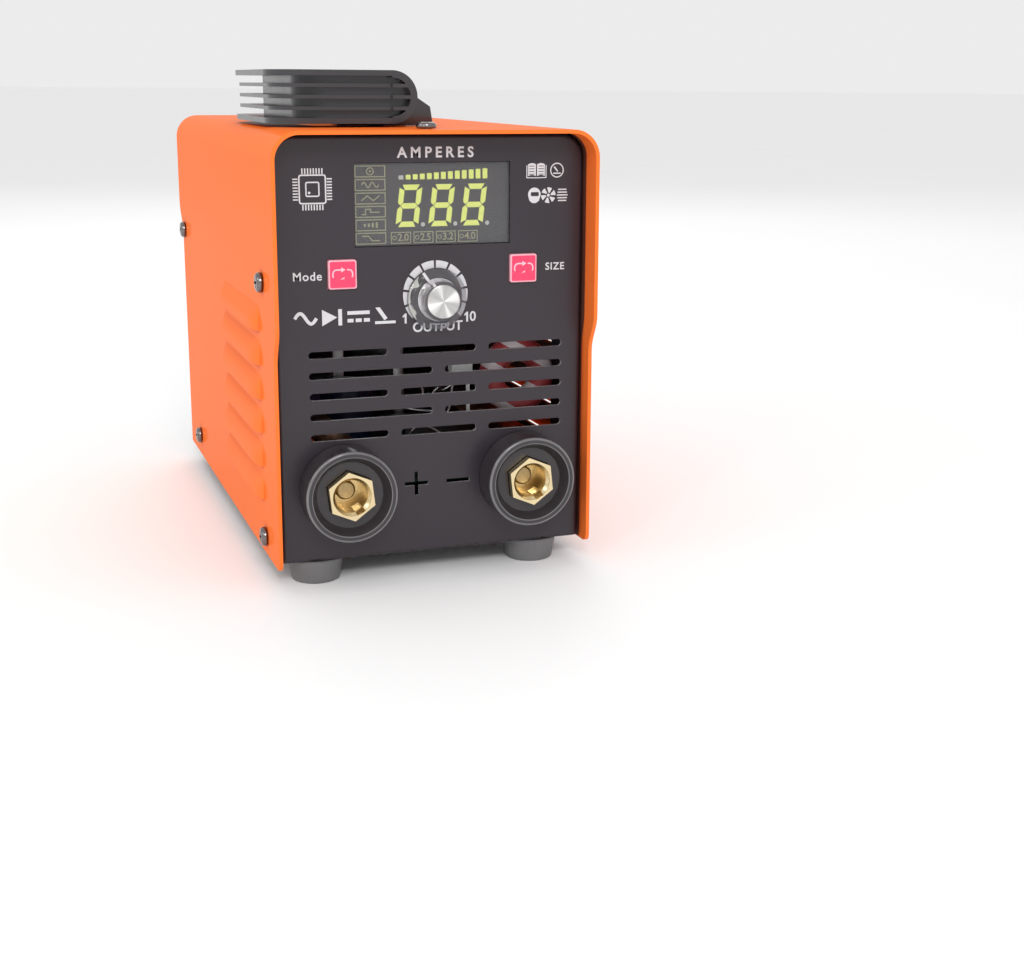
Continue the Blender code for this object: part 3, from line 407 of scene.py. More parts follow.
def curve_mesh(name, curve):
    """A curve's or a text's evaluated mesh; the curve's object is removed."""
    holder = link(name, curve)
    graph = bpy.context.evaluated_depsgraph_get()
    data = bpy.data.meshes.new_from_object(holder.evaluated_get(graph))
    bpy.data.objects.remove(holder)
    return data


def flat_mesh(name, outline, y, centre=(0.0, 0.0)):
    """Turn a 2D curve or text in its own x and y into a mesh standing upright at y."""
    data = curve_mesh(name, outline)
    mesh = bmesh.new()
    mesh.from_mesh(data)
    bpy.data.meshes.remove(data)
    bmesh.ops.remove_doubles(mesh, verts=mesh.verts, dist=1e-4)
    mesh.transform(Matrix(((1, 0, 0, centre[0]), (0, 0, -1, y), (0, 1, 0, centre[1]), (0, 0, 0, 1))))
    return start(name, mesh)


def words(name, text, centre, height, y, thickness, spacing=1.0, weight=0.0):
    """Generic lettering or numbers, standing upright and centred."""
    letters = bpy.data.curves.new(name, "FONT")
    letters.body = text
    letters.size = height / 0.73  # the built-in font's capitals are 0.73 of its size
    letters.align_x = "CENTER"
    letters.align_y = "CENTER"
    letters.space_character = spacing
    letters.extrude = thickness / 2
    letters.offset = weight
    letters.resolution_u = 4
    return flat_mesh(name, letters, y + thickness / 2, centre)


def join(name, parts):
    """One object from several, keeping their places."""
    mesh = bmesh.new()
    for part in parts:
        mesh.from_mesh(part.data)
        data = part.data
        bpy.data.objects.remove(part)
        bpy.data.meshes.remove(data)
    data = bpy.data.meshes.new(name)
    mesh.to_mesh(data)
    mesh.free()
    return link(name, data)


# Materials


def nodes_of(look):
    return look.node_tree.nodes, look.node_tree.links, look.node_tree.nodes["Principled BSDF"]


def mixed(look, share, first, second):
    """Drive the base colour by a mix of two, each a colour or a node's output."""
    nodes, links, shader = nodes_of(look)
    mix = nodes.new("ShaderNodeMix")
    mix.data_type = "RGBA"
    for socket, side in ((6, first), (7, second)):
        if isinstance(side, tuple):
            mix.inputs[socket].default_value = (*side, 1.0)
        else:
            links.new(side, mix.inputs[socket])
    links.new(share, mix.inputs[0])
    links.new(mix.outputs[2], shader.inputs["Base Color"])


def base_source(look):
    """The output that drives the base colour so far."""
    return nodes_of(look)[2].inputs["Base Color"].links[0].from_socket


def surface(
    name, colour, roughness, metallic=0.0, grain=0.0, grain_size=0.5, mottle=0.06, blotch=20.0,
    wear=0.08, **sockets,
):
    """A Principled material whose colour drifts a little, with uneven roughness and a fine grain.

    grain is the bump's height and grain_size its width, both in millimetres; blotch is the width
    of the patches in millimetres, mottle and wear are how much colour and roughness drift.
    """
    look = bpy.data.materials.new(name)
    look.use_nodes = True
    nodes, links, shader = nodes_of(look)
    shader.inputs["Metallic"].default_value = metallic
    for socket, value in sockets.items():
        shader.inputs[socket.replace("_", " ")].default_value = value
    coords = nodes.new("ShaderNodeTexCoord")
    patches = nodes.new("ShaderNodeTexNoise")
    patches.inputs["Scale"].default_value = 1 / (blotch * MM)
    patches.inputs["Detail"].default_value = 4.0
    links.new(coords.outputs["Object"], patches.inputs["Vector"])
    darker = tuple(c * (1 - mottle) for c in colour)
    lighter = tuple(min(c * (1 + mottle), 1.0) for c in colour)
    mixed(look, patches.outputs["Fac"], darker, lighter)
    fine = nodes.new("ShaderNodeTexNoise")
    fine.inputs["Scale"].default_value = 1 / (grain_size * MM)
    fine.inputs["Detail"].default_value = 3.0
    links.new(coords.outputs["Object"], fine.inputs["Vector"])
    rough = nodes.new("ShaderNodeMapRange")
    rough.inputs["To Min"].default_value = max(roughness - wear, 0.02)
    rough.inputs["To Max"].default_value = min(roughness + wear, 1.0)
    links.new(patches.outputs["Fac"], rough.inputs["Value"])
    links.new(rough.outputs["Result"], shader.inputs["Roughness"])
    if grain:
        bump = nodes.new("ShaderNodeBump")
        bump.inputs["Strength"].default_value = 1.0
        bump.inputs["Distance"].default_value = grain * MM
        links.new(fine.outputs["Fac"], bump.inputs["Height"])
        links.new(bump.outputs["Normal"], shader.inputs["Normal"])
    return look


def paint_crease_shade(look, reach, shade_colour):
    """Paint shade into the base colour in creases and under lips, within reach millimetres."""
    nodes, links, _ = nodes_of(look)
    hollow = nodes.new("ShaderNodeAmbientOcclusion")
    hollow.samples = 6
    hollow.inputs["Distance"].default_value = reach * MM
    curve = nodes.new("ShaderNodeMapRange")
    curve.inputs["From Min"].default_value = 0.25
    curve.inputs["From Max"].default_value = 0.95
    curve.inputs["To Min"].default_value = 1.0
    curve.inputs["To Max"].default_value = 0.0
    links.new(hollow.outputs["AO"], curve.inputs["Value"])
    mixed(look, curve.outputs["Result"], base_source(look), shade_colour)


def glow(name, colour, strength):
    """A surface glowing evenly in its own colour with a slight drift: a lit display segment, or a painted
    glint of light.
    """
    look = surface(name, colour, 0.4, mottle=0.1, blotch=3.0)
    _, _, shader = nodes_of(look)
    shader.inputs["Emission Color"].default_value = (*colour, 1.0)
    shader.inputs["Emission Strength"].default_value = strength
    return look


def maths(look, operation, *operands):
    """A maths node; each operand is a number or another node's output."""
    nodes, links, _ = nodes_of(look)
    made = nodes.new("ShaderNodeMath")
    made.operation = operation
    for socket, operand in zip(made.inputs, operands):
        if isinstance(operand, (int, float)):
            socket.default_value = operand
        else:
            links.new(operand, socket)
    return made.outputs[0]


def place_across_and_up(look):
    """The outputs that give a point's x and z on the object."""
    nodes, links, _ = nodes_of(look)
    coords = nodes.new("ShaderNodeTexCoord")
    split = nodes.new("ShaderNodeSeparateXYZ")
    links.new(coords.outputs["Object"], split.inputs["Vector"])
    return split.outputs["X"], split.outputs["Z"]


def striped(name, first, second, pitch, share, roughness):
    """Two colours in slanted bands."""
    look = surface(name, first, roughness, grain=0.02, grain_size=0.4)
    x, z = place_across_and_up(look)
    slope = maths(look, "MULTIPLY_ADD", z, BAND_SLOPE, x)
    wrapped = maths(look, "FRACT", maths(look, "MULTIPLY", slope, 1 / (pitch * MM)))
    mixed(look, maths(look, "LESS_THAN", wrapped, share), base_source(look), second)
    return look


def spun_metal_with_painted_fans(name, dark, light, roughness, centre):
    """Turned metal about a front-to-back axis, with its reflections painted into the colour: two opposite
    broad fans of light, narrow lobes and fine radial streaks where its tool marks would gather light.
    """
    look = surface(name, light, roughness, metallic=1.0, mottle=0.05, blotch=4.0, wear=0.03)
    x, z = place_across_and_up(look)

    def lobes(shape, angle, power):
        return maths(look, "POWER", maths(look, "ABSOLUTE", maths(look, shape, angle)), power)

    def ripple(count):
        return maths(look, "SINE", maths(look, "MULTIPLY", angle, count))

    # Painted reflection: dark to light by the angle round the cap's centre.
    across = maths(look, "SUBTRACT", x, centre[0])
    angle = maths(look, "ARCTAN2", maths(look, "SUBTRACT", z, centre[1]), across)
    leaning = maths(look, "SUBTRACT", angle, math.radians(FAN_ANGLE))
    narrow = maths(look, "MULTIPLY", lobes("SINE", leaning, 40.0), 0.7)
    level = maths(look, "ADD", lobes("COSINE", leaning, 12.0), narrow)
    streaks = maths(look, "MULTIPLY", ripple(27.0), ripple(16.0))
    level = maths(look, "ADD", level, maths(look, "MULTIPLY", streaks, 0.2))
    mixed(look, level, dark, light)
    return look


LOOKS = {
    "orange": surface(
        "orange_powder_coat", (0.93, 0.185, 0.034), 0.24, grain=0.01, grain_size=1.4, mottle=0.03,
        blotch=60.0,
        wear=0.04, Specular_IOR_Level=0.0, Coat_Weight=0.19, Coat_Roughness=0.08,
    ),
    "black_coat": surface(
        "black_powder_coat", (0.024, 0.017, 0.0235), 0.33, grain=0.012, grain_size=0.6, mottle=0.1,
        blotch=30.0,
        wear=0.05,
    ),
    "plastic": surface(
        "black_nylon", (0.034, 0.034, 0.04), 0.25, grain=0.01, grain_size=0.35, mottle=0.12,
        Coat_Weight=0.25, Coat_Roughness=0.15,
    ),
    # Painted shade: a deep red-brown for the cover's inner faces inside the case.
    "painted_inside_shade": surface(
        "inside_coat_painted_shade", (0.1, 0.028, 0.016), 0.6, grain=0.01, mottle=0.15, blotch=30.0,
    ),
    # Painted highlight: a lighter, glossier colour for the sockets' rounded rim edges.
    "painted_highlight_edge": surface(
        "painted_highlight_edge", (0.13, 0.125, 0.13), 0.2, grain=0.004, grain_size=1.5, mottle=0.4, blotch=9.0,
        Coat_Weight=0.6, Coat_Roughness=0.05,
    ),
    "core": surface(
        "dull_black_core", (0.012, 0.012, 0.014), 0.55, mottle=0.2, blotch=3.0, Specular_IOR_Level=0.2,
    ),
    "gloss": surface(
        "glossy_black_plastic", (0.034, 0.03, 0.034), 0.3, grain=0.004, grain_size=1.5, mottle=0.15,
        wear=0.05, Specular_IOR_Level=0.25, Coat_Weight=0.5, Coat_Roughness=0.04,
    ),
    "rubber": surface(
        "grey_black_rubber", (0.14, 0.137, 0.14), 0.52, grain=0.03, grain_size=0.5, mottle=0.15,
    ),
    "dark_steel": surface(
        "black_chrome", (0.2, 0.185, 0.185), 0.18, metallic=1.0, grain=0.01, grain_size=0.5, mottle=0.25,
        blotch=2.0,
    ),
    "steel": surface(
        "zinc_steel", (0.62, 0.62, 0.63), 0.3, metallic=1.0, grain=0.01, grain_size=0.3, mottle=0.12,
        blotch=6.0,
    ),
    "brass": surface(
        "turned_brass", (0.8, 0.65, 0.39), 0.24, metallic=1.0, grain=0.008, grain_size=0.25, mottle=0.12,
        blotch=5.0,
        wear=0.07,
    ),
    "brass_worn": surface(
        "worn_brass", (0.45, 0.33, 0.17), 0.4, metallic=1.0, grain=0.15, grain_size=0.7, mottle=0.3,
        blotch=1.2,
    ),
    "copper": surface("rolled_copper", (0.75, 0.36, 0.2), 0.28, metallic=1.0, grain=0.01, grain_size=0.4),
    "aluminium": surface(
        "extruded_aluminium", (0.78, 0.78, 0.79), 0.34, metallic=1.0, grain=0.01, grain_size=0.3,
    ),
    # The cap's fans of light are painted into its colour.
    "spun_painted_fans": spun_metal_with_painted_fans(
        "spun_aluminium_painted_fans", (0.5, 0.49, 0.48), (0.98, 0.97, 0.95), 0.3,
        (ORIGIN.x + DIAL[0] * MM, ORIGIN.z + DIAL[1] * MM),
    ),
    # Painted light: a pale glowing patch that stands in for light refracted in the knob's clear skirt.
    "glint": glow("painted_refraction_glint", (0.66, 0.66, 0.6), 0.22),
    # The openings' cut walls: bare sheet, made lighter still as a painted highlight on their ends.
    "cut_edge_and_highlight": surface("cut_sheet_edge_and_highlight", (0.7, 0.69, 0.7), 0.3, metallic=0.6, mottle=0.2, blotch=2.0),
    "ink": surface(
        "white_ink", (0.62, 0.61, 0.63), 0.5, mottle=0.08, blotch=1.0, grain=0.004, grain_size=0.2,
    ),
    "key": surface(
        "pink_key", (0.86, 0.035, 0.12), 0.25, mottle=0.06, blotch=6.0, grain=0.004, grain_size=0.8,
        Coat_Weight=0.3, Coat_Roughness=0.1,
    ),
    "key_edge": surface("pale_pink_edge", (0.88, 0.42, 0.5), 0.3, mottle=0.08, blotch=3.0),
    "key_mark": surface("pink_white_ink", (0.93, 0.5, 0.58), 0.45, mottle=0.06, blotch=1.0),
    "red": surface("red_rocker", (0.5, 0.02, 0.02), 0.22, mottle=0.08, Coat_Weight=0.4),
    "board": surface(
        "green_solder_mask", (0.012, 0.06, 0.028), 0.35, grain=0.02, grain_size=1.2, mottle=0.2, blotch=5.0,
    ),
    "ferrite": surface("ferrite", (0.05, 0.05, 0.055), 0.5, grain=0.03, grain_size=0.4, mottle=0.2),
    "tape": surface(
        "amber_tape", (0.75, 0.46, 0.06), 0.25, grain=0.02, grain_size=2.0, mottle=0.12, blotch=5.0,
    ),
    "sleeve": surface("blue_sleeve", (0.02, 0.026, 0.07), 0.28, grain=0.01, grain_size=0.8, mottle=0.1),
    "choke": striped("red_and_white_choke", (0.34, 0.04, 0.045), (0.55, 0.48, 0.5), 24.0, 0.3, 0.35),
    "white_plastic": surface("white_nylon", (0.8, 0.8, 0.79), 0.4, grain=0.01, grain_size=0.5),
    "lit": glow("lit_segment", (0.78, 0.86, 0.2), 0.55),
    "dim": glow("dim_segment", (0.42, 0.42, 0.24), 0.12),
    "dot": glow("white_segment", (0.6, 0.62, 0.58), 0.25),
    "display": surface("display_face", (0.07, 0.066, 0.07), 0.35, mottle=0.08, blotch=10.0, grain=0.006),
    "window": surface(
        "smoked_window", (0.16, 0.16, 0.17), 0.06, mottle=0.05, blotch=25.0, wear=0.02, grain=0.003,
        grain_size=4.0,
        Alpha=0.22, Coat_Weight=0.4, Coat_Roughness=0.03,
    ),
    "clear": surface(
        "clear_knob", (0.86, 0.86, 0.89), 0.05, mottle=0.04, blotch=5.0, wear=0.02, grain=0.01,
        grain_size=3.0,
        Transmission_Weight=0.95, IOR=1.36,
    ),
}


# Painted shade: the orange darkens towards deep red in creases and under the louvres' lips.
paint_crease_shade(LOOKS["orange"], 3.5, (0.5, 0.05, 0.012))


# CAD nodes that stay as they are: material, bevel in millimetres, names
KEPT = (
    ("black_coat", 0.2, "rear_panel"),
    ("plastic", 0.5, "handle_bracket_front handle_bracket_rear"),
    ("plastic", 0.3, "fan_frame fan_rotor power_switch cable_gland gland_nut"),
    ("plastic", 0.2, "socket_nut_plus socket_nut_minus function_switch rod_switch"),
    ("plastic", 0.3, "board_rail_left board_rail_right"),
    ("dark_steel", 0.1, "handle_pin_front handle_pin_rear"),
    ("steel", 0.2, "potentiometer pot_shaft"),
    ("brass", 0.2, "pot_nut"),
    ("copper", 0.2, "busbar_plus busbar_minus"),
    ("aluminium", 0.2, "heatsink_left heatsink_right"),
    ("board", 0.1, "main_board control_board"),
    ("sleeve", 0.3, "capacitor_1 capacitor_2"),
    ("ferrite", 0.4, "transformer_core"),
    ("tape", 0.6, "transformer_winding"),
    ("red", 0.3, "power_rocker"),
)


def restyle(look_name, bevel, names):
    """Keep CAD nodes as they are, with a better material and rounded edges."""
    for name in names.split():
        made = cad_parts[name]
        made.data.materials.clear()
        made.data.materials.append(LOOKS[look_name])
        add_bevel(made, bevel)
        made.data.shade_smooth()
        made.data.set_sharp_from_angle(angle=math.radians(SHARP_ANGLE))


# Cover


def cover_half(height):
    share = (height - COVER_LOW.z) / (COVER_HIGH.z - COVER_BEND - COVER_LOW.z)
    return COVER_HALF_FOOT + (COVER_HALF_TOP - COVER_HALF_FOOT) * min(share, 1.0)


def front_edge(height):
    """Where the cover's front edge is at a height: the visor above, the skirt below."""
    share = (height - FRONT_STEP[0]) / (FRONT_STEP[1] - FRONT_STEP[0])
    edge = SKIRT_FRONT + (VISOR_FRONT - SKIRT_FRONT) * smooth_step(share)
    left = SKIRT_CORNER - (height - COVER_LOW.z)
    if left > 0:
        edge += SKIRT_CORNER - math.sqrt(max(SKIRT_CORNER**2 - left**2, 0.0))
    return edge


def rear_edge(height):
    share = (height - REAR_STEP[0]) / (REAR_STEP[1] - REAR_STEP[0])
    return SKIRT_REAR + (VISOR_REAR - SKIRT_REAR) * smooth_step(share)


def louvre_ease(y):
    """How much of its full rise a hood has at y: none at its ends, all of it along the middle."""
    front, rear = y - LOUVRE_ENDS[0], LOUVRE_ENDS[1] - y
    if min(front, rear) <= 0:
        return 0.0
    share = min(front / LOUVRE_TAPERS[0], rear / LOUVRE_TAPERS[1], 1.0)
    return math.sqrt(1 - (1 - share) ** 2)


def side_rows():
    """(height, how far a hood has risen there, whether the sheet is slit below) down one side."""
    rows = []
    steps = 9
    bend_foot = COVER_HIGH.z - COVER_BEND
    for i in range(12):
        rows.append((bend_foot - (bend_foot - LOUVRE_TOP - 1.0) * i / 12, 0.0, False))
    for louvre in range(LOUVRES):
        top = LOUVRE_TOP - louvre * LOUVRE_PITCH
        rows.append((top + 0.5, 0.0, False))
        for j in range(steps + 1):
            share = j / steps
            rise = LOUVRE_RISE * math.sin(share * math.pi / 2) ** 0.9 if j else 0.0
            rows.append((top - LOUVRE_HEIGHT * share, rise, j == steps))
        rows.append((top - LOUVRE_HEIGHT, 0.0, False))
    last = rows[-1][0]
    rest = [last * (1 - i / 5) for i in range(1, 5)]
    rest += [COVER_LOW.z + height for height in (3.5, 2.0, 1.0, 0.35, 0.0)]
    rows += [(height, 0.0, False) for height in rest if height < last - 0.5]
    return rows


def cover_columns():
    """The share of each fixed column: y places between the front and rear edge zones."""
    start_y, end_y = LOUVRE_ENDS
    front, rear = LOUVRE_TAPERS
    curve = [1 - math.cos(math.pi / 2 * i / 9) for i in range(9)]
    ys = [8.0, 13.0] + [start_y + front * share for share in curve]
    ys += [start_y + front + (end_y - start_y - front - rear) * i / 6 for i in range(7)]
    ys += [end_y - rear * share for share in curve[::-1]]
    ys += [end_y + (225.0 - end_y) * i / 8 for i in range(1, 9)]
    return ys


def cover_piece():
    """The bent cover as one sheet: the louvres are pressed out of it and slit along their lips."""
    ys = cover_columns()
    mesh = bmesh.new()

    def line(x, height, normal_x, rise, above=None):
        """One line of points from the front edge to the rear edge, at a place on the cover."""
        front, rear = front_edge(height), rear_edge(height)
        places = [front, front + (ys[0] - front) * 0.5, *ys, ys[-1] + (rear - ys[-1]) * 0.5, rear]
        points = []
        for i, y in enumerate(places):
            out = rise * louvre_ease(y)
            if above is not None and louvre_ease(y) == 0.0:
                points.append(above[i])
            else:
                points.append(mesh.verts.new((x + normal_x * out, y, height)))
        return points

    def side_lines(side):
        """(points, whether the sheet is slit below) down one side."""
        order, above = [], None
        for height, rise, slit in side_rows():
            points = line(side * cover_half(height), height, side, rise, above)
            order.append((points, slit))
            above = points if slit else None
        return order

    bend = (COVER_HALF_TOP - COVER_BEND, COVER_HIGH.z - COVER_BEND)
    right = side_lines(1)
    lines = [points for points, _ in reversed(right)]
    gaps = {len(right) - 2 - i for i, (_, slit) in enumerate(right) if slit}
    over = arc(bend, COVER_BEND, 0, 90, 14)[1:] + arc((-bend[0], bend[1]), COVER_BEND, 90, 180, 14)[:-1]
    lines += [line(x, height, 0.0, 0.0) for x, height in over]
    left = side_lines(-1)
    gaps |= {len(lines) + i for i, (_, slit) in enumerate(left) if slit}
    lines += [points for points, _ in left]
    for i, (this, following) in enumerate(zip(lines, lines[1:])):
        for j in range(len(this) - 1):
            corners = list(dict.fromkeys((this[j], this[j + 1], following[j + 1], following[j])))
            if i in gaps or len(corners) < 3:
                continue
            mesh.faces.new(corners)
    made = link("cover_shell", to_mesh("cover_shell", mesh))
    thicken(made, COVER_SHEET)
    soften(made, 0.35, 2, 62.0)
    holes = bmesh.new()
    for place in SIDE_SCREWS:
        rod(holes, SCREW_HOLE, "x", place, -80.0, 80.0)
    cut(made, holes)
    dress(made, LOOKS["orange"], replaces=["cover"], angle=33.0)

    # Painted shade: the cover's inner faces behind the panel take the darker inside colour.
    def shaded_inner_face(spot, normal):
        outward = normal.x * spot.x + normal.z * max(spot.z - COVER_HIGH.z + 20.0, 0.0)
        behind_panel = 2.0 < spot.y < SKIRT_REAR - 4.0
        return outward < 0 and behind_panel and abs(spot.x) < COVER_HALF_FOOT - 1.3

    second_look(made, "painted_inside_shade", shaded_inner_face)


SIDE_SCREWS = [(middle(f"cover_screw_{n}").y, middle(f"cover_screw_{n}").z) for n in range(1, 5)]


def screw_data():
    """A cross-recessed pan-head screw that stands on z = 0, in metres."""
    head, height = 4.0, SCREW_HEIGHT
    mesh = bmesh.new()
    profile = [(0, -7.0), (1.5, -7.0), (1.5, 0.0), (head - 0.25, 0.0), (head, 0.2), (head, 0.75)]
    for x, y in arc((head - 1.9, 0.75), 1.55, 20, 80, 5):
        profile.append((x + 0.35, y))
    profile += [(1.2, height - 0.02), (0, height)]
    turned(mesh, profile, "z", (0, 0), 40)
    made = link("screw", to_mesh("screw", mesh))
    for turn in (30, 120):
        spin = Matrix.Rotation(math.radians(turn), 2)
        recess = bmesh.new()
        prism(recess, [tuple(spin @ Vector(point)) for point in rectangle((0, 0), 4.3, 0.95)], "z", 0.9, 5.0)
        cut(made, recess)
    soften(made, 0.1, 2, 40.0)
    data = made.data
    data.transform(Matrix.Translation(-ORIGIN))
    bpy.data.objects.remove(made)
    return data


def screw(name, data, seat, turn, replaces=()):
    piece = link(name, data.copy())
    piece.data.transform(Matrix.Translation(seat) @ turn)
    dress(piece, LOOKS["dark_steel"], replaces=replaces)


def screws(data):
    """One screw for each CAD screw, facing the way it faces."""
    names = [f"cover_screw_{n}" for n in range(1, 9)] + ["top_screw_front", "top_screw_rear"]
    for name in names:
        low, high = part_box(name)
        centre = (low + high) / 2
        if name.startswith("top"):
            seat = Vector((centre.x, centre.y, high.z - SCREW_HEIGHT * MM))
            turn = Matrix.Identity(4)
        else:
            side = math.copysign(1.0, centre.x)
            edge = high.x if side > 0 else low.x
            seat = Vector((edge - side * SCREW_HEIGHT * MM, centre.y, centre.z))
            spin = Matrix.Rotation(0.4 * len(name) + centre.y * 9, 4, "Z")
            turn = Matrix.Rotation(side * math.pi / 2, 4, "Y") @ spin
        screw(f"{name}_head", data, seat, turn, [name])


# Chassis


def ventilation_slots():
    length = SLOT_ENDS[1] - SLOT_ENDS[0]
    found = []
    for row in range(5):
        count = 2 if row % 2 else 3
        each = (length - SLOT_GAP * (count - 1)) / count
        for i in range(count):
            first = SLOT_ENDS[0] + i * (each + SLOT_GAP)
            found.append(slot((first, first + each), SLOT_TOP_ROW - row * SLOT_PITCH, SLOT_HEIGHT))
    return found


def plus(centre, length, bar):
    x, z = centre
    long, short = length / 2, bar / 2
    points = []
    for turn in range(4):
        for a, b in ((long, -short), (long, short), (short, short)):
            for _ in range(turn):
                a, b = -b, a
            points.append((x + a, z + b))
    return points


def folded_shell():
    """The chassis as an arched tray with a round fold between its face and its flanges."""
    mesh = bmesh.new()
    steps = 5
    bends = [math.pi / 2 * i / steps for i in range(steps + 1)]
    sections = [(FOLD_RADIUS * (1 - math.sin(bend)), FOLD_RADIUS * (1 - math.cos(bend))) for bend in bends]
    rings = []
    for inset, y in [*sections, (0.0, CHASSIS_HIGH.y)]:
        outline = arch(CHASSIS_HALF - inset, CHASSIS_TOP - inset, CHASSIS_CORNER - inset, inset)
        rings.append([mesh.verts.new((x, y, z)) for x, z in outline])
    mesh.faces.new(rings[0])
    for this, following in zip(rings, rings[1:]):
        for i in range(len(this)):
            j = (i + 1) % len(this)
            mesh.faces.new((this[j], this[i], following[i], following[j]))
    made = start("chassis_sheet", mesh)
    thicken(made, SHEET)
    return made


def chassis_piece():
    made = folded_shell()
    far = 400.0
    for behind, above in ((30.0, 12.0), (12.0, CHASSIS_TOP - 2 * CHASSIS_CORNER)):
        spare = bmesh.new()
        box(spare, (-far, far), (behind, far), (above, far))
        cut(made, spare)
    openings = bmesh.new()
    window_low, window_high = case_box("display_window")
    reach = ("y", -5.0, 5.0)
    size = (window_high.x - window_low.x + 0.3, window_high.z - window_low.z + 0.3)
    prism(openings, rectangle(front_spot("display_window"), *size), *reach)
    for name in ("function_button", "rod_button"):
        prism(openings, rounded(front_spot(name), 12.0, 12.0, 0.6), *reach)
    for name in ("socket_body_plus", "socket_body_minus"):
        rod(openings, SOCKET_SPIGOT + 0.3, "y", front_spot(name), -5.0, 5.0, 48)
    rod(openings, 3.8, "y", DIAL, -5.0, 5.0)
    for outline in ventilation_slots():
        prism(openings, outline, *reach)
    prism(openings, plus((SIGN_X[0], SIGN_Z), SIGN_LENGTH, SIGN_BAR), *reach)
    prism(openings, rectangle((SIGN_X[1], SIGN_Z), SIGN_LENGTH, SIGN_BAR), *reach)
    cut(made, openings)
    length, pitch = FOLD_SLOT
    notches = bmesh.new()
    for i in range(9):
        first = (i - 4) * pitch - length / 2
        box(notches, (first, first + length), (-1.0, 1.2), (-1.0, 1.2))
    for name in ("foot_1", "foot_2", "foot_3", "foot_4"):
        centre = middle(name)
        rod(notches, 2.4, "z", (centre.x, centre.y), -5.0, 5.0)
    for place in SIDE_SCREWS[:3]:
        rod(notches, SCREW_HOLE, "x", place, -80.0, 80.0)
    cut(made, notches)
    soften(made, 0.2, 2, 50.0)
    dress(made, LOOKS["black_coat"], replaces=["front_chassis"])

    # Bare cut walls of the openings, lightened further as a painted highlight.
    def bare_edge_and_highlight(spot, normal):
        in_sheet = 0.15 < spot.y < SHEET - 0.15 and abs(normal.y) < 0.3
        return in_sheet and abs(spot.x) < CHASSIS_HALF - 5.0 and 5.0 < spot.z < SLOT_TOP_ROW + SLOT_HEIGHT

    second_look(made, "cut_edge_and_highlight", bare_edge_and_highlight)


# Prints on the front panel


def ink(name, loops):
    dress(filled(name, loops, -PRINT_HEIGHT, PRINT_HEIGHT), LOOKS["ink"])


def scale_ring():
    loops = []
    segments, first, last, gap = 10, 226.0, -44.0, 4.2
    each = (first - last) / segments
    for i in range(segments):
        a, b = first - i * each - gap / 2, first - (i + 1) * each + gap / 2
        loops.append(arc(SCALE_CENTRE, 13.4, a, b, 8) + arc(SCALE_CENTRE, 10.2, b, a, 8))
    ink("print_scale", loops)


def chip_icon():
    centre = (-47.6, 148.5)
    loops = stroke(rounded(centre, 10.2, 10.6, 0.8, 3), 0.55, closed=True)
    loops += stroke(rounded(centre, 5.0, 5.2, 0.5, 3), 0.5, closed=True)
    loops.append(circle((centre[0] - 1.3, centre[1] - 1.3), 0.5, 12))
    for i in range(8):
        offset = (i - 3.5) * 1.1
        for side in (-1, 1):
            loops.append(rectangle((centre[0] + offset, centre[1] + side * 6.8), 0.5, 2.1))
            loops.append(rectangle((centre[0] + side * 6.6, centre[1] + offset), 2.0, 0.5))
    ink("print_chip", loops)


def book_icon(centre):
    x, z = centre
    loops = []
    for side in (-1, 1):
        page = [(x + side * 0.25, z - 2.2), (x + side * 0.25, z + 2.4)]
        for height, shares in ((2.4, (0.25, 0.5, 0.75, 1)), (-2.2, (1, 0.75, 0.5, 0.25))):
            for t in shares:
                page.append((x + side * (0.25 + 3.3 * t), z + height + 0.5 * math.sin(math.pi * t)))
        loops.append(page)
        for k in range(4):
            height = z + 1.7 - k * 1.05
            loops.append(rectangle((x + side * 2.0, height), 2.3, 0.28))
        loops += stroke([(x + side * 4.1, z + 2.0), (x + side * 4.1, z - 2.8), (x, z - 2.9)][::side], 0.35)
    return loops


def fan_icon(centre):
    x, z = centre
    loops = [circle(centre, 0.6, 12)]
    for i in range(6):
        turn = 60 * i
        blade = arc(centre, 1.0, turn, turn + 26, 3) + arc(centre, 3.1, turn + 40, turn, 5)
        loops.append(blade)
    for k in range(5):
        loops.append(rectangle((x + 6.0, z + 2.2 - k * 1.1), 4.6 - 0.5 * abs(k - 2), 0.5))
    return loops


def head_icon(centre):
    """A plain protective helmet: a shell and its dark visor."""
    x, z = centre
    shell = arc((x, z + 0.4), 2.7, 200, -20, 14)
    shell += [(x + 1.9, z - 2.2), (x + 0.6, z - 3.0), (x - 0.9, z - 3.0), (x - 2.1, z - 2.0)]
    return [shell, rounded((x + 0.2, z + 0.5), 3.4, 1.6, 0.4, 3)]


def bolt_icon(centre):
    """A round sign with a rod meeting a plate."""
    x, z = centre
    loops = stroke(circle(centre, 2.7, 28), 0.45, closed=True)
    loops.append([(x - 1.5, z + 1.2), (x - 1.0, z + 1.6), (x + 0.5, z - 0.3), (x + 0.1, z - 0.6)])
    loops.append(rectangle((x, z - 1.2), 3.2, 0.5))
    return loops


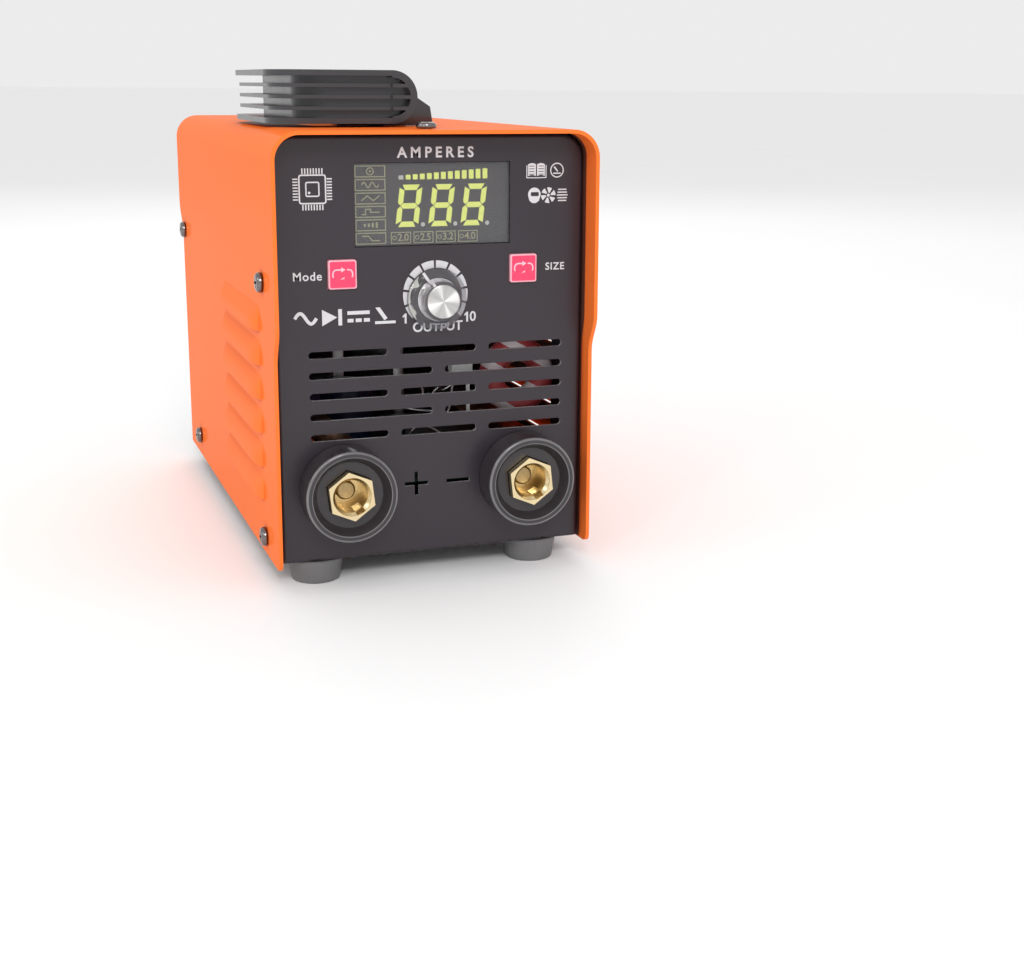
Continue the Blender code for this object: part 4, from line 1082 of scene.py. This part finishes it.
def rating_sign():
    """Generic signs for what the machine does: alternating in, rectified, rod and workpiece."""
    z = 99.2
    loops = []
    wave = [(-56.0 + 8.6 * i / 16, z + 2.1 * math.sin(2 * math.pi * i / 16)) for i in range(17)]
    loops += stroke(wave, 1.3)
    loops.append([(-45.2, z - 3.2), (-39.2, z), (-45.2, z + 3.2)])
    loops.append(rectangle((-38.0, z), 1.5, 6.4))
    loops.append(rectangle((-30.6, z + 1.5), 9.0, 1.4))
    for i in range(3):
        loops.append(rectangle((-33.9 + 3.3 * i, z - 1.5), 2.4, 1.4))
    loops.append([(-23.8, z + 3.2), (-22.0, z + 3.2), (-18.9, z - 1.2), (-20.2, z - 2.0)])
    loops.append(rectangle((-19.8, z - 2.8), 8.4, 1.1))
    ink("print_rating", loops)


def figure_one(centre, height):
    x, z = centre
    half = height / 2
    flag = [(x + 0.1, z + half), (x - 0.9, z + half - 1.0), (x - 0.9, z + half - 1.7)]
    stem = [(x - 0.1, z - half), (x + 0.7, z - half), (x + 0.7, z + half)]
    return [*stem, *flag, (x - 0.1, z + half - 1.1)]


def panel_prints():
    ink("print_ones", [figure_one((-11.8, 97.5), 4.0), figure_one((13.9, 97.1), 4.0)])
    scale_ring()
    chip_icon()
    ink("print_book", book_icon((43.4, 154.4)))
    ink("print_rod_sign", bolt_icon((52.2, 154.4)))
    ink("print_helmet", head_icon((42.6, 144.6)))
    ink("print_fan", fan_icon((48.6, 144.6)))
    rating_sign()
    lettering = [
        ("print_heading", "AMPERES", (1.5, 161.7), 4.1, 1.5, 0.14),
        ("print_mode", "Mode", (-50.6, 115.3), 3.4, 1.12, 0.06),
        ("print_size", "SIZE", (51.8, 116.0), 3.0, 1.12, 0.06),
        ("print_high", "0", (16.6, 97.0), 4.0, 1.0, 0.09),
        ("print_output", "OUTPUT", (1.8, 93.6), 3.9, 0.98, 0.11),
    ]
    for name, text, centre, height, spacing, weight in lettering:
        made = words(name, text, centre, height, -PRINT_HEIGHT, PRINT_HEIGHT, spacing, weight)
        dress(made, LOOKS["ink"])


# Display


def seven_segment(centre, width, height, thick, slant):
    """The seven bars of a slanted figure eight, as mitred outlines."""
    x, z = centre
    w, h, t = width / 2, height / 2, thick
    gap = 0.18
    bars = []
    for level in (h - t / 2, 0.0, t / 2 - h):
        reach = w - t / 2 - gap
        inner = reach - t / 2
        if level == 0.0:
            upper = [(-reach, 0), (-inner, t / 2), (inner, t / 2)]
            bars.append([*upper, (reach, 0), (inner, -t / 2), (-inner, -t / 2)])
        else:
            up = math.copysign(t / 2, level)
            wide = [(-w + t * 0.45 + gap, level + up), (w - t * 0.45 - gap, level + up)]
            bars.append([*wide, (w - t - gap, level - up), (t - w + gap, level - up)])
    for side in (-1, 1):
        for sign in (-1, 1):
            outer, inner = side * w, side * (w - t)
            middle_x = side * (w - t / 2)
            bars.append(
                [
                    (outer, sign * (h - t * 0.45 - gap)),
                    (inner, sign * (h - t - gap)),
                    (inner, sign * (t / 2 + gap)),
                    (middle_x, sign * gap),
                    (outer, sign * (t / 2 + gap)),
                ]
            )
    lean = math.tan(math.radians(slant))
    return [[(x + a + b * lean, z + b) for a, b in bar] for bar in bars]


def display():
    low, high = case_box("display_window")
    left, top = low.x, high.z
    face = case_box("display_module")[0].y
    lit, dim, dot = [], [], []
    for i in range(13):
        height = 1.6 + 2.3 * i / 12
        outline = rounded((left + 19.2 + 2.87 * i, top - 6.5 + height / 2), 1.95, height, 0.25, 3)
        (dot if i == 0 else lit).append(outline)
    for i in range(3):
        x = left + 22.3 + 13.35 * i
        lit += seven_segment((x, top - 16.6), 9.2, 16.3, 2.1, 7.3)
        dot.append(circle((x + 5.6, top - 23.9), 0.85, 16))
    marks = []
    for i in range(6):
        centre = (left + 6.8, top - 3.2 - 5.13 * i)
        dim += stroke(rectangle(centre, 11.8, 4.1), 0.42, closed=True)
        marks += display_mark(i, centre)
    dim += marks
    for i, size in enumerate(("2.0", "2.5", "3.2", "4.0")):
        centre = (left + 18.9 + 9.2 * i, top - 28.9)
        dim += stroke(rectangle(centre, 7.8, 4.2), 0.35, closed=True)
        place = (centre[0] + 0.9, centre[1])
        made = words(f"display_size_{i + 1}", size, place, 2.9, face - 0.1, 0.08, 0.95, 0.05)
        dress(made, LOOKS["dim"])
        dim += stroke(circle((centre[0] - 2.6, centre[1]), 0.75, 14), 0.3, closed=True)
    for name, loops in (("lit", lit), ("dim", dim), ("dot", dot)):
        dress(filled(f"display_{name}", loops, face - 0.1, 0.08), LOOKS[name])
    panel = node_box("display_face", "display_module")
    dress(soften(panel, 0.25), LOOKS["display"], replaces=["display_module"])
    pane = node_box("display_pane", "display_window")
    dress(soften(pane, 0.3), LOOKS["window"], replaces=["display_window"])


def display_mark(index, centre):
    """A small generic sign for each of the display's six modes."""
    x, z = centre
    if index == 0:
        return stroke(circle(centre, 1.35, 20), 0.4, closed=True) + [circle(centre, 0.45, 10)]
    if index == 4:
        return [rectangle((x - 2.4 + 1.6 * i, z), 0.8, 1.0 + 0.4 * i) for i in range(4)]
    lines = {
        1: [(-3.4 + 6.8 * i / 20, math.sin(2 * math.pi * i / 10)) for i in range(21)],
        2: [(-3.6, -0.9), (-1.2, 1.0), (1.2, -0.9), (3.6, 1.0)],
        3: [(-3.6, -1.0), (-2.0, -1.0), (-2.0, 1.0), (0.0, 1.0), (0.0, -0.2), (3.6, -0.2)],
        5: [(-3.6, 0.9), (-1.0, 0.9), (0.6, -0.9), (3.6, -0.9)],
    }
    return stroke([(x + a, z + b) for a, b in lines[index]], 0.45)


def node_box(name, node):
    """A solid with a CAD node's own box."""
    mesh = bmesh.new()
    box(mesh, *zip(*case_box(node)))
    return start(name, mesh)


# Keys


def loop_arrows(centre):
    """Two arrows that chase each other round a rounded rectangle."""
    x, z = centre
    loops = []
    for side in (1, -1):
        path = [(-1.7, -1.9), (-2.4, -1.9)]
        path += arc((-2.4, -0.4), 1.5, 270, 180, 5)[1:]
        path += arc((-2.4, 0.4), 1.5, 180, 90, 5)
        path += [(-0.6, 1.9)]
        head = [(-0.6, 0.9), (1.1, 1.9), (-0.6, 2.9)]
        for loop in stroke(path, 0.55) + [head]:
            loops.append([(x + side * a, z + side * b) for a, b in loop])
    return loops


def keys():
    for name in ("function", "rod"):
        node = f"{name}_button"
        low, high = case_box(node)
        centre = front_spot(node)
        body = filled(f"{name}_key", [rounded(centre, 11.4, 11.4, 0.9)], low.y, 3.0, 0.5)
        mesh = bmesh.new()
        box(mesh, (low.x, high.x), (1.6, 2.6), (low.z, high.z))
        rod(mesh, 2.0, "y", centre, 2.5, high.y)
        back = start("key_back", mesh)
        dress(join(f"{name}_key", [body, back]), LOOKS["key_edge"], node, [node])
        face = filled(f"{name}_key_face", [rounded(centre, 10.1, 10.1, 0.6)], low.y - 0.06, 0.3, 0.03)
        dress(face, LOOKS["key"], node)
        mark = filled(f"{name}_key_mark", loop_arrows(centre), low.y - 0.12, 0.08)
        dress(mark, LOOKS["key_mark"], node)


# Knob


def knob_profile():
    low, high = case_box("knob")
    skirt = (high.x - low.x) / 2
    front = low.y
    edge = [(skirt, -0.95), (skirt, -1.5), (skirt - 0.4, -1.9)]
    return [*edge, (10.6, -2.6), (9.0, -3.5), (8.3, -4.6), (7.9, front + 0.7), (7.3, front)]


def glint_outline():
    """A painted glint of light in the clear skirt: a thin crescent along its edge that swells in two places.
    """
    outer, inner = [], []
    first, last, steps = 130.0, 222.0, 46
    for i in range(steps + 1):
        angle = first + (last - first) * i / steps
        swell = 3.1 * math.exp(-(((angle - 145) / 8) ** 2)) + 1.8 * math.exp(-(((angle - 207) / 8) ** 2))
        width = (0.6 + swell) * math.sin(math.pi * (i + 1) / (steps + 2)) ** 0.4
        turn = math.radians(angle)
        for radius, side in ((11.7, outer), (11.7 - width, inner)):
            side.append((DIAL[0] + radius * math.cos(turn), DIAL[1] + radius * math.sin(turn)))
    return outer + inner[::-1]


def knob():
    profile = knob_profile()
    front = profile[-1][1]
    hollow = [(0, front), (0, front + 0.9), (6.3, front + 0.9), (6.6, -2.2)]
    mesh = bmesh.new()
    turned(mesh, [(6.9, -0.95), *profile, *hollow], "y", DIAL, 72)
    made = start("knob_body", mesh)
    dress(made, LOOKS["clear"], "knob", ["knob"], 50.0)
    core = [(0, front + 1.1), (6.1, front + 1.1), (6.3, front + 1.6), (6.4, -2.6), (2.9, -2.6)]
    mesh = bmesh.new()
    turned(mesh, [*core, (2.9, front + 3.0), (0, front + 3.0)], "y", DIAL, 64)
    dress(start("knob_core", mesh), LOOKS["core"], "knob")
    # The glint is painted light: a glowing crescent just behind the skirt's face.
    dress(filled("knob_glint", [glint_outline()], -1.35, 0.08), LOOKS["glint"], "knob")
    pointer = bmesh.new()
    turn = math.radians(POINTER_ANGLE)
    along = Vector((math.cos(turn), math.sin(turn)))
    across = Vector((-along.y, along.x))
    rows = []
    for r, y in [*profile[2:], (6.7, front - 0.02)]:
        row = []
        for lift in (0.1, -0.15):
            for side in (-1, 1):
                point = Vector(DIAL) + along * (r + lift) + across * side * POINTER_HALF
                row.append(pointer.verts.new((point.x, y - lift, point.y)))
        rows.append([row[0], row[1], row[3], row[2]])
    for this, following in zip(rows, rows[1:]):
        for i in range(4):
            j = (i + 1) % 4
            pointer.faces.new((this[i], this[j], following[j], following[i]))
    pointer.faces.new(rows[0][::-1])
    pointer.faces.new(rows[-1])
    dress(start("knob_pointer", pointer), LOOKS["ink"], "knob")
    low, high = case_box("knob_cap")
    radius = (high.x - low.x) / 2
    cap = [(0, high.y), (radius, high.y), (radius, low.y + 0.25), (radius - 0.12, low.y + 0.1)]
    mesh = bmesh.new()
    turned(mesh, [*cap, (radius - 0.45, low.y), (0, low.y + 0.12)], "y", DIAL, 96)
    dress(start("knob_disc", mesh), LOOKS["spun_painted_fans"], "knob", ["knob_cap"], 60.0)


# Sockets


def socket(sign):
    centre = front_spot(f"socket_insert_{sign}")
    low, high = case_box(f"socket_body_{sign}")
    back = high.y
    mesh = bmesh.new()
    profile = [(SOCKET_SPIGOT, back), (SOCKET_SPIGOT, -0.3)]
    profile += [(SOCKET_RADIUS - 0.3, -0.3), (SOCKET_RADIUS, -0.7)]
    profile += arc((RIM_FLAT[1], low.y + 0.9), SOCKET_RADIUS - RIM_FLAT[1], 0, -90, 6)
    profile += [(RIM_FLAT[0] + 0.4, low.y), (RIM_FLAT[0] + 0.1, low.y + 0.1), (RIM_FLAT[0], low.y + 0.4)]
    floor = low.y + RECESS_DEPTH
    profile += [(RECESS_RADIUS + 0.5, floor - 0.4), (RECESS_RADIUS, floor), (0, floor), (0, back)]
    turned(mesh, profile, "y", centre, 96)
    body = start(f"socket_{sign}_shell", mesh)
    hollow = bmesh.new()
    prism(hollow, hexagon(centre, HEX_FLATS + 0.4, HEX_TURN), "y", -20.0, back + 5.0)
    cut(body, hollow)
    soften(body, 0.15, 2, 55.0)
    dress(body, LOOKS["gloss"], replaces=[f"socket_body_{sign}"], angle=30.0)

    # The rim's rounded edges take a lighter colour: a painted highlight.
    def painted_rim_highlight(spot, _):
        radius = math.hypot(spot.x - centre[0], spot.z - centre[1])
        return spot.y < low.y + 0.8 and not RIM_FLAT[0] + 0.4 <= radius <= RIM_FLAT[1] + 0.1

    second_look(body, "painted_highlight_edge", painted_rim_highlight)
    mesh = bmesh.new()
    prism(mesh, hexagon(centre, HEX_FLATS, HEX_TURN), "y", HEX_FRONT, back)
    insert = start(f"socket_{sign}_insert", mesh)
    stud = bmesh.new()
    rod(stud, 4.0, "y", centre, back - 1.0, case_box(f"socket_insert_{sign}")[1].y)
    fuse(insert, stud)
    floor = HEX_FRONT + BORE_DEPTH
    boss = HEX_FRONT + BOSS_SETBACK
    hollow = bmesh.new()
    profile = [(0, HEX_FRONT - 5), (BORE_MOUTH, HEX_FRONT - 5), (BORE_MOUTH, HEX_FRONT + 0.15)]
    profile += [(BORE_RADIUS, HEX_FRONT + 1.6), (BORE_RADIUS, floor), (4.0, floor), (4.0, boss + 1.0)]
    profile += [(3.7, boss + 0.4), (3.2, boss), (0, boss)]
    turned(hollow, profile, "y", centre, 64)
    cut(insert, hollow)
    key = bmesh.new()
    spin = Matrix.Rotation(math.radians(KEY_WAY_ANGLE), 2)
    way = [tuple(Vector(centre) + spin @ Vector(point)) for point in rectangle((5.9, 0.0), 4.0, 3.4)]
    prism(key, way, "y", HEX_FRONT - 3.0, HEX_FRONT + 9.5)
    cut(insert, key)
    soften(insert, 0.22, 2, 30.0)
    dress(insert, LOOKS["brass"], replaces=[f"socket_insert_{sign}"], angle=34.0)

    def on_boss(spot, _):
        radius = math.hypot(spot.x - centre[0], spot.z - centre[1])
        return radius < 4.3 and boss - 0.5 < spot.y < floor + 0.5

    second_look(insert, "brass_worn", on_boss)


# Feet


def feet():
    for i in range(4):
        node = f"foot_{i + 1}"
        spot = middle(node)
        mesh = bmesh.new()
        ground = case_box(node)[0].z
        profile = [(0, ground + 1.2), (6.0, ground + 1.2), (6.6, ground), (9.2, ground)]
        profile += [(9.75, ground + 0.25), (10.05, ground + 0.9), (11.35, -1.3), (11.35, -0.7), (11.0, -0.3)]
        profile += [(2.0, -0.3), (2.0, 1.5), (3.2, 1.5), (1.5, 5.2), (0, 5.2)]
        turned(mesh, profile, "z", (spot.x, spot.y), 72)
        dress(start(f"rubber_{node}", mesh), LOOKS["rubber"], replaces=[node])


# Handle


def bail_path(left, inset, radius, end_x, steps=16):
    """A U in plan that starts at left, its arms inset from the bail's ends and running to end_x."""
    front, rear = BAIL_LOW.y + inset, BAIL_HIGH.y - inset
    first = arc((left + radius, front + radius), radius, 270, 180, steps)
    second = arc((left + radius, rear - radius), radius, 180, 90, steps)
    return [(end_x, front), *first, *second, (end_x, rear)]


def bail_outline(inset, end_x):
    return bail_path(BAIL_LOW.x + inset, inset, max(BAIL_CORNER - inset, 3.0), end_x)


def bail_band(outer, inner, end_x):
    return bail_outline(outer, end_x) + bail_outline(inner, end_x)[::-1]


def rib_grooves(low, high):
    """The four grooves between the ribs, ending in an arc that follows the bail's round end."""
    end_x = PIVOT[0] + (high - low) / 2
    floor = bail_path(BAIL_LOW.x + RIB_DEPTH, ARM_RIB_DEPTH, CORE_CORNER, end_x)
    height = (high - low - 2 * OUTER_RIB - 3 * INNER_RIB) / 4
    mesh = bmesh.new()
    for i in range(4):
        bottom = low + OUTER_RIB + i * (height + INNER_RIB)
        prism(mesh, bail_outline(-5.0, end_x) + floor[::-1], "z", bottom, bottom + height)
    left = BAIL_LOW.x - 9
    outline = [(PIVOT[0], high), (left, high), (left, low), (PIVOT[0], low)]
    outline += arc(PIVOT, (high - low) / 2 - END_WALL, -90, 90, 28)
    limit = bmesh.new()
    prism(limit, outline, "y", BAIL_LOW.y - 9, BAIL_HIGH.y + 9)
    return boolean(start("grooves", mesh), start("limit", limit), "INTERSECT")


def handle():
    thick = BAIL_HIGH.z - BAIL_LOW.z
    radius = thick / 2
    low, high = BAIL_LOW.z, BAIL_HIGH.z
    mesh = bmesh.new()
    prism(mesh, bail_band(0.0, RIB_DEPTH + CORE_DEPTH, PIVOT[0] + radius), "z", low, high)
    made = start("handle_grip", mesh)
    ends = bmesh.new()
    outline = [(PIVOT[0], high + 9), *arc(PIVOT, radius, 90, -90, 32), (PIVOT[0], low - 9)]
    outline += [(PIVOT[0] + 25, low - 9), (PIVOT[0] + 25, high + 9)]
    prism(ends, outline, "y", 0.0, 150.0)
    cut(made, ends)
    setback = bmesh.new()
    prism(setback, bail_band(-5.0, INNER_SETBACK, PIVOT[0]), "z", low + OUTER_RIB, high - OUTER_RIB)
    cut(made, setback)
    boolean(made, rib_grooves(low, high), "DIFFERENCE")
    pins = bmesh.new()
    inner = RIB_DEPTH + CORE_DEPTH
    rod(pins, 2.8, "y", PIVOT, BAIL_LOW.y + inner - 7.2, BAIL_LOW.y + inner + 5)
    rod(pins, 2.8, "y", PIVOT, BAIL_HIGH.y - inner - 5, BAIL_HIGH.y - inner + 7.2)
    cut(made, pins)
    soften(made, 0.4, 3, 45.0)
    dress(made, LOOKS["plastic"], "handle", ["handle_bail"], 32.0)


# Rear


def fan_guard(data):
    """The fan's wire guard: round rings on two crossed wires that end in eyes under the fan's screws."""
    low = case_box("fan_guard")[0]
    x, z = front_spot("fan_frame")
    back, wire = low.y + WIRE_RADIUS, WIRE_RADIUS
    mesh = bmesh.new()
    for radius in GUARD_RINGS:
        turned(mesh, circle((radius, back + 1.7 * wire), wire, 12), "y", (x, z), 96)
    eye = FAN_MOUNT * math.sqrt(2)
    for turn in (45, 135):
        bar = bmesh.new()
        rod(bar, wire, "x", (back, 0.0), 3.0 - eye, eye - 3.0, 16)
        for end in (-eye, eye):
            turned(bar, circle((3.0, back), wire, 12), "y", (end, 0.0), 32)
        bar.transform(Matrix.Translation((x, 0, z)) @ Matrix.Rotation(math.radians(turn), 4, "Y"))
        bar_data = bpy.data.meshes.new("bar")
        bar.to_mesh(bar_data)
        bar.free()
        mesh.from_mesh(bar_data)
        bpy.data.meshes.remove(bar_data)
    dress(start("fan_guard_wire", mesh), LOOKS["steel"], replaces=["fan_guard"])
    for i, (a, b) in enumerate(((-1, -1), (1, -1), (-1, 1), (1, 1))):
        seat = case_point(x + a * FAN_MOUNT, low.y + 2 * wire, z + b * FAN_MOUNT)
        turn = Matrix.Rotation(-math.pi / 2, 4, "X") @ Matrix.Rotation(0.5 + i, 4, "Z")
        screw(f"fan_screw_{i + 1}", data, seat, turn)


def rocker_marks():
    """The on and off signs moulded into the rocker's two sloping halves."""
    spot = middle("power_rocker")
    pivot_y, tilt = case_box("power_switch")[1].y - 2.4, math.radians(10.0)

    def on_rocker(x, across):
        y = 3.06 + 1.4 * abs(across) / 7.9
        return (
            spot.x + x,
            pivot_y + y * math.cos(tilt) - across * math.sin(tilt),
            spot.z + y * math.sin(tilt) + across * math.cos(tilt),
        )

    mesh = bmesh.new()
    loops = stroke(circle((0.0, -4.2), 1.9, 24), 0.7, closed=True)
    ring = [[mesh.verts.new(on_rocker(a, b)) for a, b in loop] for loop in loops]
    for i in range(24):
        j = (i + 1) % 24
        mesh.faces.new((ring[0][i], ring[0][j], ring[1][j], ring[1][i]))
    mesh.faces.new([mesh.verts.new(on_rocker(a, b)) for a, b in rectangle((0.0, 4.2), 0.8, 3.8)])
    made = start("rocker_marks", mesh)
    thicken(made, 0.05, 0.0)
    dress(made, LOOKS["ink"], "power_rocker")


# Inside


def lead(name, points, radius):
    """A tinned wire bent smoothly through a few points."""
    path = bpy.data.curves.new(name, "CURVE")
    path.dimensions = "3D"
    path.bevel_depth = radius * MM
    path.bevel_resolution = 3
    path.use_fill_caps = True
    spline = path.splines.new("BEZIER")
    spline.bezier_points.add(len(points) - 1)
    for knot, place in zip(spline.bezier_points, points):
        knot.co = case_point(*place)
        knot.handle_left_type = knot.handle_right_type = "AUTO"
    dress(link(name, curve_mesh(name, path)), LOOKS["steel"])


def inside():
    """Parts seen through the slots: the choke's round body and small parts near the front."""
    low, high = case_box("output_choke")
    outer, inner = (high.x - low.x) / 2 - 2.5, 6.0
    centre = (high.x - outer, (low.z + high.z) / 2)
    mesh = bmesh.new()
    ring = (outer + inner) / 2
    thick, deep = (outer - inner) / 2, (high.y - low.y) / 2
    profile = []
    for i in range(20):
        turn = 2 * math.pi * i / 20
        profile.append((ring + thick * math.cos(turn), (low.y + high.y) / 2 + deep * math.sin(turn)))
    turned(mesh, profile, "y", centre, 64)
    dress(start("choke_body", mesh), LOOKS["choke"], replaces=["output_choke"])

    mesh = bmesh.new()
    box(mesh, (9.9, 18.9), (7.0, 12.5), (71.5, 77.6))
    made = soften(start("lead_connector", mesh), 0.35)
    dress(made, LOOKS["white_plastic"])
    mesh = bmesh.new()
    box(mesh, (17.7, 19.3), (12.0, 12.8), (54.5, 69.5))
    made = soften(start("bobbin_edge", mesh), 0.2)
    dress(made, LOOKS["white_plastic"])
    leads = {
        "lead_1": [(13.0, 9.0, 72.0), (11.0, 10.5, 66.0), (9.7, 10.0, 58.0), (5.0, 12.0, 50.0)],
        "lead_2": [(16.0, 9.0, 72.0), (8.0, 13.0, 65.0), (3.9, 9.0, 66.5), (2.0, 14.0, 58.0)],
        "lead_3": [(-14.0, 12.0, 60.0), (-4.0, 10.0, 57.9), (4.0, 10.5, 57.4), (9.0, 14.0, 60.0)],
        "lead_4": [(-8.0, 10.0, 47.0), (-5.6, 9.5, 50.4), (-0.6, 10.0, 50.7), (5.5, 10.0, 47.6)],
        "lead_5": [(-6.0, 8.0, 72.0), (-2.9, 8.0, 67.8), (-2.2, 9.0, 63.0), (-4.0, 14.0, 60.0)],
    }
    for name, points in leads.items():
        lead(name, points, 0.45)


# Light, floor and camera


def stage():
    floor = bpy.data.meshes.new("floor")
    mesh = bmesh.new()
    bmesh.ops.create_circle(mesh, cap_ends=True, radius=40.0, segments=96)
    mesh.to_mesh(floor)
    mesh.free()
    made = link("floor", floor)
    pale = surface(
        "pale_floor", (0.95, 0.95, 0.95), 0.7, mottle=0.02, blotch=300.0, grain=0.02, grain_size=3.0,
    )
    made.data.materials.append(pale)

    world = bpy.data.worlds.new("studio")
    bpy.context.scene.world = world
    world.use_nodes = True
    shade_node = world.node_tree.nodes["Background"]
    shade_node.inputs["Color"].default_value = (1.0, 1.0, 1.0, 1.0)
    shade_node.inputs["Strength"].default_value = 0.84

    def softbox(name, place, aim, size, power, colour=(1.0, 1.0, 1.0)):
        light = bpy.data.lights.new(name, "AREA")
        light.shape = "RECTANGLE"
        light.size, light.size_y = size
        light.energy = power
        light.color = colour
        holder = link(name, light)
        holder.location = place
        direction = Vector(aim) - Vector(place)
        holder.rotation_euler = direction.to_track_quat("-Z", "Y").to_euler()

    target = (0.0, 0.0, 0.1)
    softbox("key_light", (-0.25, -1.5, 1.1), target, (0.6, 0.4), 10.0)
    softbox("side_light", (-1.6, -0.3, 0.9), target, (0.9, 0.4), 3.0)
    softbox("strip_light", (-0.75, -0.9, 0.75), target, (0.06, 0.7), 1.2)
    softbox("back_light", (0.4, 1.5, 1.2), target, (1.2, 0.8), 5.0)
    inner = bpy.data.lights.new("inner_light", "AREA")
    inner.shape = "RECTANGLE"
    inner.size, inner.size_y = 0.1, 0.006
    inner.energy = 0.004
    holder = link("inner_light", inner)
    holder.location = case_point(0.0, 6.5, 94.0)
    holder.rotation_euler = (math.radians(60.0), 0.0, 0.0)


def camera():
    data = bpy.data.cameras.new("camera")
    data.lens = 52.1254
    data.sensor_width = 36.0
    data.sensor_fit = "HORIZONTAL"
    data.clip_start = 0.01
    holder = link("camera", data)
    azimuth, elevation, roll = 0.348, -0.267, 0.007
    turn = Matrix.Rotation(-azimuth, 4, "Z") @ Matrix.Rotation(math.pi / 2 + elevation, 4, "X")
    turn = turn @ Matrix.Rotation(roll, 4, "Z")
    holder.matrix_world = Matrix.Translation((-0.171044, -0.679963, 0.198212)) @ turn
    bpy.context.scene.camera = holder


camera()
stage()
bpy.context.scene.view_settings.view_transform = "Standard"

for row in KEPT:
    restyle(*row)
cover_piece()
screw_shape = screw_data()
screws(screw_shape)
fan_guard(screw_shape)
rocker_marks()
chassis_piece()
panel_prints()
display()
keys()
knob()
socket("plus")
socket("minus")
feet()
handle()
inside()
